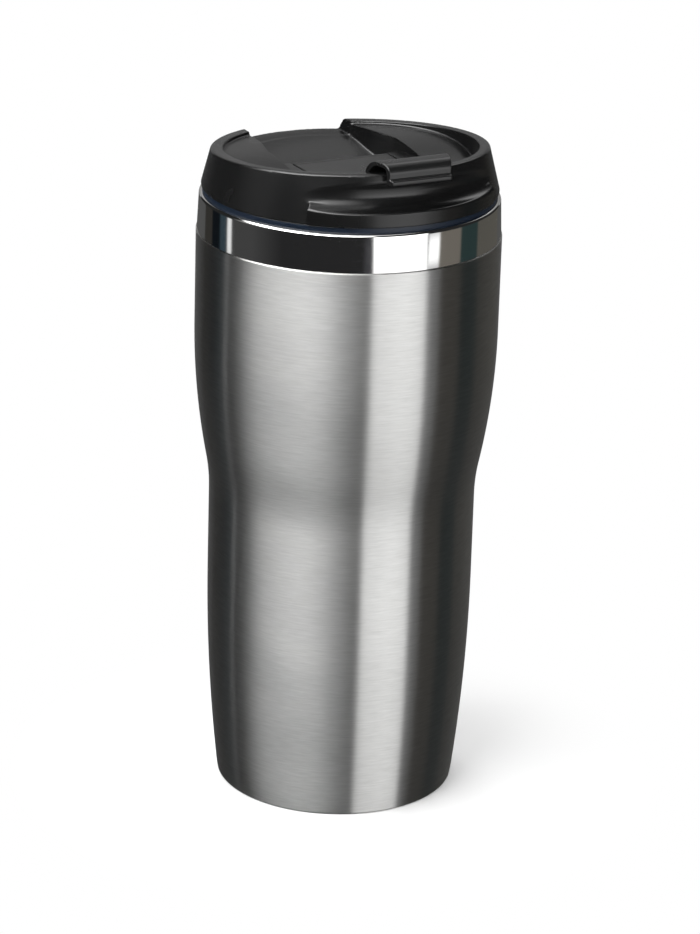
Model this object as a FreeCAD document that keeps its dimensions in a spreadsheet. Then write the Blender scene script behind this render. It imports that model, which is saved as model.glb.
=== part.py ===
import FreeCAD, Part
import math
import os

import Sketcher

# Insulated travel mug: a waisted double-walled steel body, a polished collar with a rolled rim, and a
# screw-on lid whose hinged flap hooks over the front of the rim and stops the drinking hole.
# Millimetres, +Z up, origin at the middle of the foot.  The drinking side faces -Y.

SIZES = {
    # outer shell, brushed steel
    "foot_set_in": 3.75,
    "belly_set_in": 4.75,
    "belly_height": 62,
    "waist_height": 86,
    "flare_radius": 55,
    "shoulder_radius": 42.2,
    "shoulder_height": 135,
    "neck_height": 162,
    "shell_wall": 0.8,
    "foot_lip": 2.8,
    "shell_edge_break": 0.4,
    # base plate, pressed steel, welded on the shell's foot lip
    "base_wall": 0.8,
    "base_panel_radius": 25,
    "base_panel_rise": 1.5,
    "weld_gap": 0.1,
    # polished collar with the rolled rim
    "collar_set_in": 0.7,
    "collar_flare": 0.45,
    "collar_height": 10.7,
    "collar_wall": 0.8,
    "collar_tongue": 5,
    "rim_roll": 0.8,
    "rim_width": 2.9,
    # inner cup
    "mouth_depth": 20,
    "throat_depth": 14,
    "throat_step": 4.6,
    "liner_taper": 2.5,
    "liner_floor_height": 6,
    "liner_corner": 8,
    "liner_wall": 0.8,
    # seal ring between lid and rim
    "seal_set_in": 0.65,
    "seal_thickness": 1.7,
    "seal_mouth_gap": 0.15,
    "seal_bulge": 3,
    # lid cover
    "lid_set_in": 0.45,
    "lid_taper": 0.2548,
    "lid_edge_break": 0.3,
    "rim_height": 11.3,
    "rim_slope": 0.0739,
    "rim_round": 0.7,
    "rim_base_width": 6.05,
    "deck_drop": 1.2,
    "deck_clearance": 0.4,
    "floor_wall": 2,
    "cheek_height": 8.75,
    "cheek_peak_back": 15,
    "cheek_front_radius": 110,
    "cheek_back_radius": 112,
    "cheek_wall": 2,
    "ledge_width": 5.1,
    "channel_back": 12,
    "kink_length": 7.5,
    "kink_step": 2.4,
    "gap_stand_out": 0.2,
    "gap_back_beyond": 4,
    "dish_lip_height": 5.6,
    "dish_start_back": 12,
    "dish_length": 24,
    # finger scoop under the tab, and the pad below it
    "pad_stand_out": 0.35,
    "pad_height": 6,
    "pad_angle": 86.4,
    "scoop_tube_radius": 5.15,
    "scoop_stand_out": 0.1,
    "scoop_sweep_radius": 56,
    "scoop_height": 7.3,
    # flap
    "plate_height": 6,
    "plate_wall": 2.2,
    "flap_half_width": 14.5,
    "flap_side_gap": 0.35,
    "barrel_radius": 2.4,
    "hinge_back": 6.2,
    "ledge_front": 8,
    "riser_gap": 2.5,
    "riser_wall": 1.3,
    "hook_set_in": 0.85,
    "hook_wall": 1.2,
    "hook_height": 17.1,
    "hook_round": 2.7,
    "hook_back_round": 4.3,
    "tab_reach": 1.3,
    "tab_height": 11.6,
    "tab_wall": 1.4,
    "taper_length": 17.4,
    "taper_slope": 0.3,
    # hinge pin
    "pin_radius": 0.9,
    "pin_grip": 0.9,
    "pin_press_gap": 0.03,
    "pin_running_gap": 0.08,
    # drinking hole, its stopper, and the vent
    "drink_set_in": 10,
    "drink_length": 14,
    "drink_width": 9,
    "stopper_lap": 1.7,
    "stopper_nub": 1.2,
    "stopper_nub_gap": 0.5,
    "socket_wall": 1.1,
    "socket_depth": 1.3,
    "socket_gap": 0.05,
    "vent_behind_drink": 16,
    "vent_radius": 1.2,
    "vent_button_radius": 2.3,
    # threaded plug under the lid cover
    "plug_clearance": 1,
    "plug_wall": 1.8,
    "plug_length": 13,
    "tube_wall": 1.2,
}

doc = FreeCAD.newDocument("travel_mug")
sheet = doc.addObject("Spreadsheet::Sheet", "Sizes")
for row, (name, size) in enumerate(SIZES.items(), start=1):
    sheet.set(f"A{row}", name)
    sheet.set(f"B{row}", str(size))
    sheet.setAlias(f"B{row}", name)
doc.recompute()


def cell(name):
    """The expression that reads one size from the sheet."""
    return f"Sizes.{name}"


def number(expression):
    """What an expression over the sheet is worth now."""
    return float(sheet.evalExpression(expression))


# Radii and distances from the axis that several pieces share, worked out from the shoulder inwards.
SHOULDER = cell("shoulder_radius")
BELLY = f"({SHOULDER} - {cell('belly_set_in')})"
FOOT = f"({BELLY} - {cell('foot_set_in')})"
COLLAR = f"({SHOULDER} - {cell('collar_set_in')})"
MOUTH = f"({COLLAR} - {cell('rim_width')})"
LINER = f"({MOUTH} - {cell('throat_step')})"
LINER_FLOOR = f"({LINER} - {cell('liner_taper')})"
SEAL = f"({COLLAR} - {cell('seal_set_in')})"
LID = f"({COLLAR} - {cell('lid_set_in')})"
BORE = f"({LID} - {cell('rim_base_width')})"
PAD = f"({LID} + {cell('pad_stand_out')})"
SCOOP = f"({LID} + {cell('scoop_stand_out')})"
RISER = f"({BORE} - {cell('riser_gap')})"
HOOK = f"({LID} - {cell('hook_set_in')})"
DRINK = f"({BORE} - {cell('drink_set_in')})"
VENT = f"({DRINK} - {cell('vent_behind_drink')})"
PLUG = f"({MOUTH} - {cell('plug_clearance')})"
HALF_FLAP = cell("flap_half_width")
CHANNEL = f"({HALF_FLAP} + {cell('ledge_width')})"
BACK_GAP = f"({HALF_FLAP} + {cell('gap_stand_out')})"

# Heights above the table that several pieces share.
NECK = cell("neck_height")
RIM_TOP = f"({NECK} + {cell('collar_height')})"
LID_BASE = f"({RIM_TOP} + {cell('seal_thickness')})"
DECK_UNDER = f"({LID_BASE} - {cell('deck_drop')})"
FLOOR = f"({DECK_UNDER} + {cell('floor_wall')})"
PLATE_TOP = f"({LID_BASE} + {cell('plate_height')})"
PLATE_UNDER = f"({PLATE_TOP} - {cell('plate_wall')})"
HINGE_Z = f"({PLATE_TOP} - {cell('barrel_radius')})"
HINGE_Y = cell("hinge_back")
RIM_AT_AXIS = f"({LID_BASE} + {cell('rim_height')})"
ABOVE_LID = f"({RIM_AT_AXIS} + 8)"


# ---------------------------------------------------------------- drawing helpers
def plane(body, role):
    """One of a body's own origin planes or axes."""
    return next(item for item in body.Origin.OriginFeatures if item.Role == role)


def body_sketch(body, role, name, lift=None):
    """A sketch on an origin plane of its body, lifted off it by an expression where asked."""
    sketch = body.newObject("Sketcher::SketchObject", name)
    sketch.AttachmentSupport = [(plane(body, role), "")]
    sketch.MapMode = "FlatFace"
    if lift:
        sketch.setExpression("AttachmentOffset.Base.z", lift)
    return sketch


def free_sketch(role, name, lift=None):
    """A sketch outside any body: 'XY' is the plan, 'YZ' the side view."""
    sketch = doc.addObject("Sketcher::SketchObject", name)
    if role == "YZ":
        turn = FreeCAD.Rotation(FreeCAD.Vector(1, 1, 1), 120)
        sketch.Placement = FreeCAD.Placement(FreeCAD.Vector(), turn)
    if lift:
        sketch.setExpression("Placement.Base.z", lift)
    return sketch


def pin_point(sketch, geometry, end, x, y):
    """Hold one end of a line or arc at the place that two expressions give."""
    for kind, expression in (("DistanceX", x), ("DistanceY", y)):
        where = sketch.addConstraint(Sketcher.Constraint(kind, geometry, end, number(expression)))
        sketch.setExpression(f"Constraints[{where}]", expression)


def arc_between(start, finish, radius, side):
    """The shorter arc from start to finish, with its centre left (+1) or right (-1) of the way."""
    chord = finish - start
    middle = (start + finish) * 0.5
    across = FreeCAD.Vector(-chord.y, chord.x, 0).normalize()
    height = math.sqrt(radius ** 2 - (chord.Length / 2) ** 2)
    centre = middle + across * (side * height)
    first, last = (start, finish) if side > 0 else (finish, start)
    angles = [math.atan2(p.y - centre.y, p.x - centre.x) for p in (first, last)]
    circle = Part.Circle(centre, FreeCAD.Vector(0, 0, 1), radius)
    return Part.ArcOfCircle(circle, angles[0], angles[1])


def draw(sketch, path):
    """Draw a closed outline.  Each corner is (x, y) for a straight side to the next corner, or
    (x, y, radius, side) for an arc to it, all as expressions, side being +1 or -1."""
    places = [FreeCAD.Vector(number(corner[0]), number(corner[1]), 0) for corner in path]
    ends = []
    first = sketch.GeometryCount
    for index, corner in enumerate(path):
        start, finish = places[index], places[(index + 1) % len(path)]
        if len(corner) == 2:
            made = sketch.addGeometry(Part.LineSegment(start, finish), False)
            ends.append((1, 2))
        else:
            made = sketch.addGeometry(arc_between(start, finish, number(corner[2]), corner[3]), False)
            ends.append((1, 2) if corner[3] > 0 else (2, 1))
    for index, corner in enumerate(path):
        made = first + index
        after = first + (index + 1) % len(path)
        next_start = ends[(index + 1) % len(path)][0]
        sketch.addConstraint(Sketcher.Constraint("Coincident", made, ends[index][1], after, next_start))
        pin_point(sketch, made, ends[index][0], corner[0], corner[1])
        if len(corner) > 2:
            where = sketch.addConstraint(Sketcher.Constraint("Radius", made, number(corner[2])))
            sketch.setExpression(f"Constraints[{where}]", corner[2])


def draw_circle(sketch, x, y, radius):
    """Draw a circle whose centre and radius are expressions."""
    centre = FreeCAD.Vector(number(x), number(y), 0)
    circle = Part.Circle(centre, FreeCAD.Vector(0, 0, 1), number(radius))
    made = sketch.addGeometry(circle, False)
    pin_point(sketch, made, 3, x, y)
    where = sketch.addConstraint(Sketcher.Constraint("Radius", made, number(radius)))
    sketch.setExpression(f"Constraints[{where}]", radius)


def rounded(corners):
    """Turn square corners (x, y, radius or None) of an outline into the path that draw() takes."""
    path = []
    for index, (x, y, radius) in enumerate(corners):
        if radius is None:
            path.append((x, y))
            continue
        before, after = corners[index - 1], corners[(index + 1) % len(corners)]
        here = FreeCAD.Vector(number(x), number(y), 0)
        into = (FreeCAD.Vector(number(before[0]), number(before[1]), 0) - here).normalize()
        out = (FreeCAD.Vector(number(after[0]), number(after[1]), 0) - here).normalize()
        side = 1 if into.cross(out).z < 0 else -1
        path.append((f"{x} + {radius} * {round(into.x)}", f"{y} + {radius} * {round(into.y)}", radius, side))
        path.append((f"{x} + {radius} * {round(out.x)}", f"{y} + {radius} * {round(out.y)}"))
    return path


def slot_path(centre_y, length, width):
    """A slot with round ends, long across the mug, about x = 0 and y = centre_y."""
    half = f"({length} - {width}) / 2"
    low, high = f"{centre_y} - {width} / 2", f"{centre_y} + {width} / 2"
    end = f"{width} / 2 + 0.0001"
    return [
        (f"-({half})", low),
        (half, low, end, 1),
        (half, high),
        (f"-({half})", high, end, 1),
    ]


def new_body(label):
    """An empty body under the name of its piece."""
    body = doc.addObject("PartDesign::Body", label)
    body.Label = label
    return body


def add_feature(body, kind, name, sketch, **settings):
    """A sketch-based feature.  Settings given as text are bound as expressions."""
    feature = body.newObject(f"PartDesign::{kind}", name)
    feature.Profile = sketch
    for key, setting in settings.items():
        if isinstance(setting, str) and key not in ("Type", "SideType"):
            feature.setExpression(key, setting)
        else:
            setattr(feature, key, setting)
    sketch.Visibility = False
    doc.recompute()
    return feature


def revolve(body, name, sketch):
    """Turn a section about the mug's axis."""
    return add_feature(body, "Revolution", name, sketch, ReferenceAxis=(sketch, ["V_Axis"]), Angle=360)


def round_edges(body, name, base, radius, chosen):
    """Round those edges of a feature for which chosen(edge) is true."""
    names = [f"Edge{i}" for i, edge in enumerate(base.Shape.Edges, start=1) if chosen(edge)]
    fillet = body.newObject("PartDesign::Fillet", name)
    fillet.Base = (base, names)
    fillet.Radius = number(radius)
    fillet.setExpression("Radius", radius)
    doc.recompute()
    return fillet


def extrude(name, sketch, length, both_ways=False, backwards=False):
    """A solid block with a free sketch as its outline."""
    block = doc.addObject("Part::Extrusion", name)
    block.Base = sketch
    block.DirMode = "Normal"
    block.Solid = True
    block.Symmetric = both_ways
    block.Reversed = backwards
    block.setExpression("LengthFwd", length)
    return block


def combine(kind, name, pieces):
    """Join, cut or intersect solids with Part's own booleans."""
    result = doc.addObject(f"Part::{kind}", name)
    if kind in ("MultiFuse", "MultiCommon"):
        result.Shapes = pieces
    else:
        result.Base, result.Tool = pieces
    doc.recompute()
    return result


# ---------------------------------------------------------------- steel body
def shell_side(inset, bottom, up):
    """The waisted side of the shell, drawn up the outside or down the inside of the wall.
    Foot to belly is one arc that ends upright; the waist flares through two arcs that touch."""
    foot = f"({FOOT} - {inset})"
    belly = f"({BELLY} - {inset})"
    shoulder = f"({SHOULDER} - {inset})"
    belly_z, waist, top = cell("belly_height"), cell("waist_height"), cell("shoulder_height")
    sag, rise = f"({belly} - {foot})", f"({belly_z} - {bottom})"
    foot_arc = f"({rise} ^ 2 + {sag} ^ 2) / (2 * {sag})"
    out, lift = f"({shoulder} - {belly})", f"({top} - {waist})"
    span = f"(({out} ^ 2 + {lift} ^ 2) / (2 * {out}))"
    flare = f"({cell('flare_radius')} + {inset})"
    touch_x = f"{belly} + {flare} * {out} / {span}"
    touch_y = f"{waist} + {flare} * {lift} / {span}"
    upper = f"({span} - {flare})"
    if up:
        return [
            (foot, bottom, foot_arc, 1),
            (belly, belly_z),
            (belly, waist, flare, -1),
            (touch_x, touch_y, upper, 1),
            (shoulder, top),
        ]
    return [
        (shoulder, top, upper, -1),
        (touch_x, touch_y, flare, 1),
        (belly, waist),
        (belly, belly_z, foot_arc, -1),
        (foot, bottom),
    ]


def make_outer_shell():
    """The brushed outer shell: one spun sheet from the turned-in foot to the open neck."""
    body = new_body("outer_shell")
    wall = cell("shell_wall")
    lip = f"({FOOT} - {cell('foot_lip')})"
    section = body_sketch(body, "XZ_Plane", "shell_section")
    edge = cell("shell_edge_break")
    path = [(lip, "0"), (f"{FOOT} - {edge}", "0")] + shell_side("0", edge, True)
    path += [(SHOULDER, f"{NECK} - {edge}"), (f"{SHOULDER} - {edge}", NECK), (f"{SHOULDER} - {wall}", NECK)]
    path += shell_side(wall, wall, False) + [(lip, wall)]
    draw(section, path)
    revolve(body, "shell_turned", section)
    return body


def make_base_plate():
    """The pressed disc that closes the foot, its middle panel raised clear of the table."""
    body = new_body("base_plate")
    seat, wall = cell("shell_wall"), cell("base_wall")
    rise, panel = cell("base_panel_rise"), cell("base_panel_radius")
    rim = f"({FOOT} - {cell('shell_wall')} - {cell('weld_gap')})"
    section = body_sketch(body, "XZ_Plane", "base_section")
    draw(section, [
        ("0", f"{seat} + {rise}"),
        (panel, f"{seat} + {rise}"),
        (f"{panel} + {rise}", seat),
        (rim, seat),
        (rim, f"{seat} + {wall}"),
        (f"{panel} + {rise} + {wall} / 2", f"{seat} + {wall}"),
        (f"{panel} + {wall} / 2", f"{seat} + {wall} + {rise}"),
        ("0", f"{seat} + {wall} + {rise}"),
    ])
    revolve(body, "base_turned", section)
    return body


def make_polished_collar():
    """The mirror-bright collar: a tongue inside the shell's neck, a side that draws in a little on
    its way up, and a round rim rolled in to the cup."""
    body = new_body("polished_collar")
    outer, wall, roll = COLLAR, cell("collar_wall"), cell("rim_roll")
    tongue = f"({SHOULDER} - {cell('shell_wall')} - {cell('weld_gap')})"
    inner = f"({tongue} - {wall})"
    foot = f"({NECK} - {cell('collar_tongue')})"
    section = body_sketch(body, "XZ_Plane", "collar_section")
    draw(section, [
        (inner, foot),
        (tongue, foot),
        (tongue, NECK),
        (f"{outer} + {cell('collar_flare')}", NECK),
        (outer, f"{RIM_TOP} - {roll}", roll, 1),
        (f"{outer} - {roll}", RIM_TOP),
        (MOUTH, RIM_TOP),
        (MOUTH, f"{RIM_TOP} - {wall}"),
        (inner, f"{RIM_TOP} - {wall}"),
    ])
    revolve(body, "collar_turned", section)
    return body


def make_inner_liner():
    """The drawn inner cup: straight mouth, cone throat, tapered wall and rounded floor."""
    body = new_body("inner_liner")
    wall, corner = cell("liner_wall"), cell("liner_corner")
    top = f"({RIM_TOP} - {cell('collar_wall')})"
    mouth_foot = f"({RIM_TOP} - {cell('mouth_depth')})"
    throat_foot = f"({mouth_foot} - {cell('throat_depth')})"
    upper, floor_radius = LINER, LINER_FLOOR
    floor = cell("liner_floor_height")
    section = body_sketch(body, "XZ_Plane", "liner_section")
    draw(section, [
        ("0", f"{floor} - {wall}"),
        (f"{floor_radius} + {wall} / 2 - {corner}", f"{floor} - {wall}"),
        (f"{floor_radius} + {wall}", f"{floor} + {corner} - {wall} / 2"),
        (f"{upper} + {wall}", throat_foot),
        (f"{MOUTH} + {wall}", mouth_foot),
        (f"{MOUTH} + {wall}", top),
        (MOUTH, top),
        (MOUTH, mouth_foot),
        (upper, throat_foot),
        (floor_radius, f"{floor} + {corner}"),
        (f"{floor_radius} - {corner}", floor),
        ("0", floor),
    ])
    revolve(body, "liner_turned", section)
    return body


# ---------------------------------------------------------------- lid
def make_lid_seal():
    """The silicone ring that the lid squeezes on the rolled rim, its outer side a little bulged."""
    body = new_body("lid_seal")
    inner = f"({MOUTH} + {cell('seal_mouth_gap')})"
    section = body_sketch(body, "XZ_Plane", "seal_section")
    draw(section, [
        (inner, RIM_TOP),
        (SEAL, RIM_TOP, cell("seal_bulge"), 1),
        (SEAL, LID_BASE),
        (inner, LID_BASE),
    ])
    revolve(body, "seal_turned", section)
    return body


def make_lid_blank():
    """The lid before anything is cut from it: a cone whose top slopes up to the drinking side."""
    body = new_body("lid_blank")
    deck = f"({MOUTH} - {cell('deck_clearance')})"
    taper = cell("lid_taper")
    edge = cell("lid_edge_break")
    top_radius = f"({LID} - {taper} * ({ABOVE_LID} - {LID_BASE}))"
    section = body_sketch(body, "XZ_Plane", "lid_section")
    draw(section, [
        ("0", DECK_UNDER),
        (deck, DECK_UNDER),
        (deck, LID_BASE),
        (f"{LID} - {edge}", LID_BASE),
        (f"{LID} - {taper} * {edge}", f"{LID_BASE} + {edge}"),
        (top_radius, ABOVE_LID),
        ("0", ABOVE_LID),
    ])
    revolve(body, "lid_cone", section)

    slope = body_sketch(body, "YZ_Plane", "rim_slope_side")
    reach = f"(2 * {LID})"
    draw(slope, [
        (f"-{reach}", f"{RIM_AT_AXIS} + {cell('rim_slope')} * {reach}"),
        (reach, f"{RIM_AT_AXIS} - {cell('rim_slope')} * {reach}"),
        (reach, f"{ABOVE_LID} + 10"),
        (f"-{reach}", f"{ABOVE_LID} + 10"),
    ])
    add_feature(body, "Pocket", "rim_sloped", slope, Type="ThroughAll", Midplane=True)
    return body


def outer_rim_edge(edge):
    """True for the outer edge of the sloping top: it lies on the rim's plane, outside the bore."""
    if isinstance(edge.Curve, Part.Line):
        return False
    slope, axis_height = number(cell("rim_slope")), number(RIM_AT_AXIS)
    points = edge.discretize(5)
    outside = all(math.hypot(p.x, p.y) > number(BORE) + 1 for p in points)
    return outside and all(abs(p.z + slope * p.y - axis_height) < 0.01 for p in points)


def cheek_profile(sketch):
    """Side view of the space over the two cheeks: their tops rise gently from the back to a peak and
    then fall in one long arc to the floor of the drinking basin at the front."""
    peak_y, peak_z = cell("cheek_peak_back"), f"({LID_BASE} + {cell('cheek_height')})"
    front, back = cell("cheek_front_radius"), cell("cheek_back_radius")
    fall = f"({peak_z} - {FLOOR})"
    front_y = f"({peak_y} - sqrt({front} ^ 2 - ({front} - {fall}) ^ 2))"
    back_y = f"({BORE} + 2)"
    back_z = f"({peak_z} - {back} + sqrt({back} ^ 2 - ({back_y} - {peak_y}) ^ 2))"
    draw(sketch, [
        (f"-({BORE} + 2)", FLOOR),
        (front_y, FLOOR, front, -1),
        (peak_y, peak_z, back, -1),
        (back_y, back_z),
        (back_y, ABOVE_LID),
        (f"-({BORE} + 2)", ABOVE_LID),
    ])


def dish_profile(sketch):
    """Side view of the space over the channel: a flat floor, then the dish, which rises to the back
    in two arcs that touch half way and runs out level."""
    lip_z = f"({LID_BASE} + {cell('dish_lip_height')})"
    start, length = cell("dish_start_back"), cell("dish_length")
    rise = f"({lip_z} - {FLOOR})"
    bend = f"(({length} ^ 2 + {rise} ^ 2) / (4 * {rise}))"
    far = f"({LID} + 4)"
    draw(sketch, [
        (f"-({BORE} + 2)", FLOOR),
        (start, FLOOR, bend, 1),
        (f"{start} + {length} / 2", f"{FLOOR} + {rise} / 2", bend, -1),
        (f"{start} + {length}", lip_z),
        (far, lip_z),
        (far, ABOVE_LID),
        (f"-({BORE} + 2)", ABOVE_LID),
    ])


def channel_plan(sketch):
    """Plan of the channel: parallel walls beside the flap, a short step inwards behind it, and then
    walls that close in slowly towards the gap at the back of the rim."""
    wide, narrow = CHANNEL, BACK_GAP
    turn_y, gap_y = cell("channel_back"), f"({BORE} + {cell('gap_back_beyond')})"
    kink_x, kink_y = f"({CHANNEL} - {cell('kink_step')})", f"({turn_y} + {cell('kink_length')})"
    far = f"({LID} + 4)"
    front = f"-({BORE} + 2)"
    draw(sketch, [
        (wide, front),
        (wide, turn_y),
        (kink_x, kink_y),
        (narrow, gap_y),
        (narrow, far),
        (f"-{narrow}", far),
        (f"-{narrow}", gap_y),
        (f"-{kink_x}", kink_y),
        (f"-{wide}", turn_y),
        (f"-{wide}", front),
    ])


def make_lid_cover(blank):
    """The moulded lid cover: the blank, hollowed inside its rim, with hinge ledges beside the flap."""
    pad = doc.addObject("Part::Cylinder", "spout_pad")
    pad.Placement.Rotation = FreeCAD.Rotation(-90 - SIZES["pad_angle"] / 2, 0, 0)
    pad.setExpression("Radius", PAD)
    pad.setExpression("Height", cell("pad_height"))
    pad.setExpression("Angle", cell("pad_angle"))
    pad.setExpression("Placement.Base.z", LID_BASE)
    pad.setExpression("Placement.Rotation.Angle", f"90 + {cell('pad_angle')} / 2")
    pad.Placement.Rotation.Axis = FreeCAD.Vector(0, 0, -1)
    with_pad = combine("MultiFuse", "lid_with_pad", [blank, pad])
    scoop = doc.addObject("Part::Torus", "finger_scoop")
    scoop.setExpression("Radius1", cell("scoop_sweep_radius"))
    scoop.setExpression("Radius2", cell("scoop_tube_radius"))
    scoop.setExpression("Placement.Base.y", f"{cell('scoop_sweep_radius')} - {SCOOP}")
    scoop.setExpression("Placement.Base.z", f"{LID_BASE} + {cell('scoop_height')}")
    scooped = combine("Cut", "lid_with_scoop", (with_pad, scoop))

    bore = doc.addObject("Part::Cylinder", "rim_bore")
    bore.setExpression("Radius", BORE)
    bore.setExpression("Placement.Base.z", FLOOR)
    bore.setExpression("Height", f"{ABOVE_LID} - {FLOOR}")
    cheek_side = free_sketch("YZ", "cheek_side")
    cheek_profile(cheek_side)
    over_cheeks = extrude("over_cheeks", cheek_side, f"2 * {LID} + 4", both_ways=True)
    basin = combine("MultiCommon", "basin_space", [bore, over_cheeks])
    with_basin = combine("Cut", "lid_with_basin", (scooped, basin))

    plan = free_sketch("XY", "channel_plan", lift=FLOOR)
    channel_plan(plan)
    walls = extrude("channel_walls", plan, f"{ABOVE_LID} - {FLOOR}")
    dish_side = free_sketch("YZ", "dish_side")
    dish_profile(dish_side)
    over_dish = extrude("over_dish", dish_side, f"2 * {CHANNEL} + 4", both_ways=True)
    back_way = doc.addObject("Part::Box", "channel_back_way")
    back_way.setExpression("Length", f"2 * {CHANNEL} + 2")
    back_way.setExpression("Width", f"{LID} + 4")
    back_way.setExpression("Height", f"{ABOVE_LID} - {FLOOR}")
    back_way.setExpression("Placement.Base.x", f"-({CHANNEL} + 1)")
    back_way.setExpression("Placement.Base.z", FLOOR)
    reach = combine("MultiFuse", "channel_reach", [bore, back_way])
    channel = combine("MultiCommon", "channel_space", [walls, over_dish, reach])

    ledge_side = free_sketch("YZ", "ledge_side")
    ledge_foot = f"({FLOOR} - {cell('floor_wall')} / 2)"
    ledge_back = f"({HINGE_Y} + {cell('barrel_radius')})"
    draw(ledge_side, [
        (f"-{cell('ledge_front')}", ledge_foot),
        (ledge_back, ledge_foot),
        (ledge_back, HINGE_Z, f"{cell('barrel_radius')} + 0.0001", 1),
        (HINGE_Y, PLATE_TOP),
        (f"-{cell('ledge_front')}", PLATE_TOP),
    ])
    ledge_bar = extrude("ledge_bar", ledge_side, f"2 * ({CHANNEL} + 1)", both_ways=True)
    flap_room = doc.addObject("Part::Box", "flap_room")
    half_room = f"({HALF_FLAP} + {cell('flap_side_gap')})"
    flap_room.setExpression("Length", f"2 * {half_room}")
    flap_room.setExpression("Width", f"2 * {LID}")
    flap_room.setExpression("Height", f"{ABOVE_LID} - {ledge_foot}")
    flap_room.setExpression("Placement.Base.x", f"-{half_room}")
    flap_room.setExpression("Placement.Base.y", f"-{LID}")
    flap_room.setExpression("Placement.Base.z", ledge_foot)
    ledges = combine("Cut", "hinge_ledges", (ledge_bar, flap_room))
    around_ledges = combine("Cut", "space_around_ledges", (channel, ledges))
    with_channel = combine("Cut", "lid_with_channel", (with_basin, around_ledges))

    drink = free_sketch("XY", "drink_outline", lift=f"{DECK_UNDER} - 1")
    draw(drink, slot_path(f"-{DRINK}", cell("drink_length"), cell("drink_width")))
    drink_hole = extrude("drink_hole", drink, f"{cell('floor_wall')} + 2")
    vent_hole = doc.addObject("Part::Cylinder", "vent_hole")
    vent_hole.setExpression("Radius", cell("vent_radius"))
    vent_hole.setExpression("Height", f"{cell('floor_wall')} + 2")
    vent_hole.setExpression("Placement.Base.y", f"-{VENT}")
    vent_hole.setExpression("Placement.Base.z", f"{DECK_UNDER} - 1")
    pin_side = free_sketch("YZ", "pin_bore_side")
    draw_circle(pin_side, HINGE_Y, HINGE_Z, f"{cell('pin_radius')} + {cell('pin_press_gap')}")
    pocket_inner = f"({CHANNEL} + {cell('cheek_wall')})"
    pin_bore = extrude("pin_bore", pin_side, f"2 * {pocket_inner} + 1", both_ways=True)
    hollows = make_cheek_hollows(pocket_inner)
    tools = combine("MultiFuse", "lid_openings", [drink_hole, vent_hole, pin_bore, hollows])
    sharp = combine("Cut", "sharp_lid", (with_channel, tools))

    body = new_body("lid_cover")
    body.BaseFeature = sharp
    doc.recompute()
    round_edges(body, "rim_outer_round", body.BaseFeature, cell("rim_round"), outer_rim_edge)
    return body


def make_cheek_hollows(inner):
    """The space under each cheek, which keeps the moulding to an even wall."""
    disc = doc.addObject("Part::Cylinder", "hollow_disc")
    disc.setExpression("Radius", f"{BORE} - {cell('cheek_wall')}")
    disc.setExpression("Placement.Base.z", f"{DECK_UNDER} - 1")
    front, peak_y = cell("cheek_front_radius"), cell("cheek_peak_back")
    drop = f"({front} - sqrt({front} ^ 2 - ({peak_y} + {cell('ledge_front')}) ^ 2))"
    roof = f"({LID_BASE} + {cell('cheek_height')} - {drop} - {cell('cheek_wall')})"
    disc.setExpression("Height", f"{roof} - {DECK_UNDER} + 1")
    middle = doc.addObject("Part::Box", "hollow_middle")
    middle.setExpression("Length", f"2 * {inner}")
    middle.setExpression("Width", f"2 * {LID}")
    middle.setExpression("Height", f"{ABOVE_LID} - {DECK_UNDER}")
    middle.setExpression("Placement.Base.x", f"-{inner}")
    middle.setExpression("Placement.Base.y", f"-{LID}")
    middle.setExpression("Placement.Base.z", f"{DECK_UNDER} - 1")
    front_box = doc.addObject("Part::Box", "hollow_front")
    front_box.setExpression("Length", f"2 * {LID}")
    front_box.setExpression("Width", f"{LID} - {cell('ledge_front')}")
    front_box.setExpression("Height", f"{ABOVE_LID} - {DECK_UNDER}")
    front_box.setExpression("Placement.Base.x", f"-{LID}")
    front_box.setExpression("Placement.Base.y", f"-{LID}")
    front_box.setExpression("Placement.Base.z", f"{DECK_UNDER} - 1")
    outside = combine("MultiFuse", "hollow_outside", [middle, front_box])
    return combine("Cut", "cheek_hollows", (disc, outside))


def make_lid_plug():
    """The threaded plug under the cover: a cup with a tube for the drink and one for the air."""
    body = new_body("lid_plug")
    outer, wall = PLUG, cell("plug_wall")
    foot = f"({DECK_UNDER} - {cell('plug_length')})"
    section = body_sketch(body, "XZ_Plane", "plug_section")
    draw(section, [
        ("0", foot),
        (outer, foot),
        (outer, DECK_UNDER),
        (f"{outer} - {wall}", DECK_UNDER),
        (f"{outer} - {wall}", f"{foot} + {wall}"),
        ("0", f"{foot} + {wall}"),
    ])
    revolve(body, "plug_cup", section)
    drink_y, vent_y = f"-{DRINK}", f"-{VENT}"
    both_walls = f"2 * {cell('tube_wall')}"
    tubes = body_sketch(body, "XY_Plane", "tube_outline", lift=foot)
    draw(tubes, slot_path(drink_y, f"({cell('drink_length')} + {both_walls})",
                          f"({cell('drink_width')} + {both_walls})"))
    draw_circle(tubes, "0", vent_y, f"{cell('vent_radius')} + {cell('tube_wall')}")
    add_feature(body, "Pad", "tubes", tubes, Length=cell("plug_length"))
    ways = body_sketch(body, "XY_Plane", "way_outline", lift=f"{foot} - 1")
    draw(ways, slot_path(drink_y, cell("drink_length"), cell("drink_width")))
    draw_circle(ways, "0", vent_y, cell("vent_radius"))
    add_feature(body, "Pocket", "ways_through", ways, Reversed=True, Length=f"{cell('plug_length')} + 2")
    return body


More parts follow.
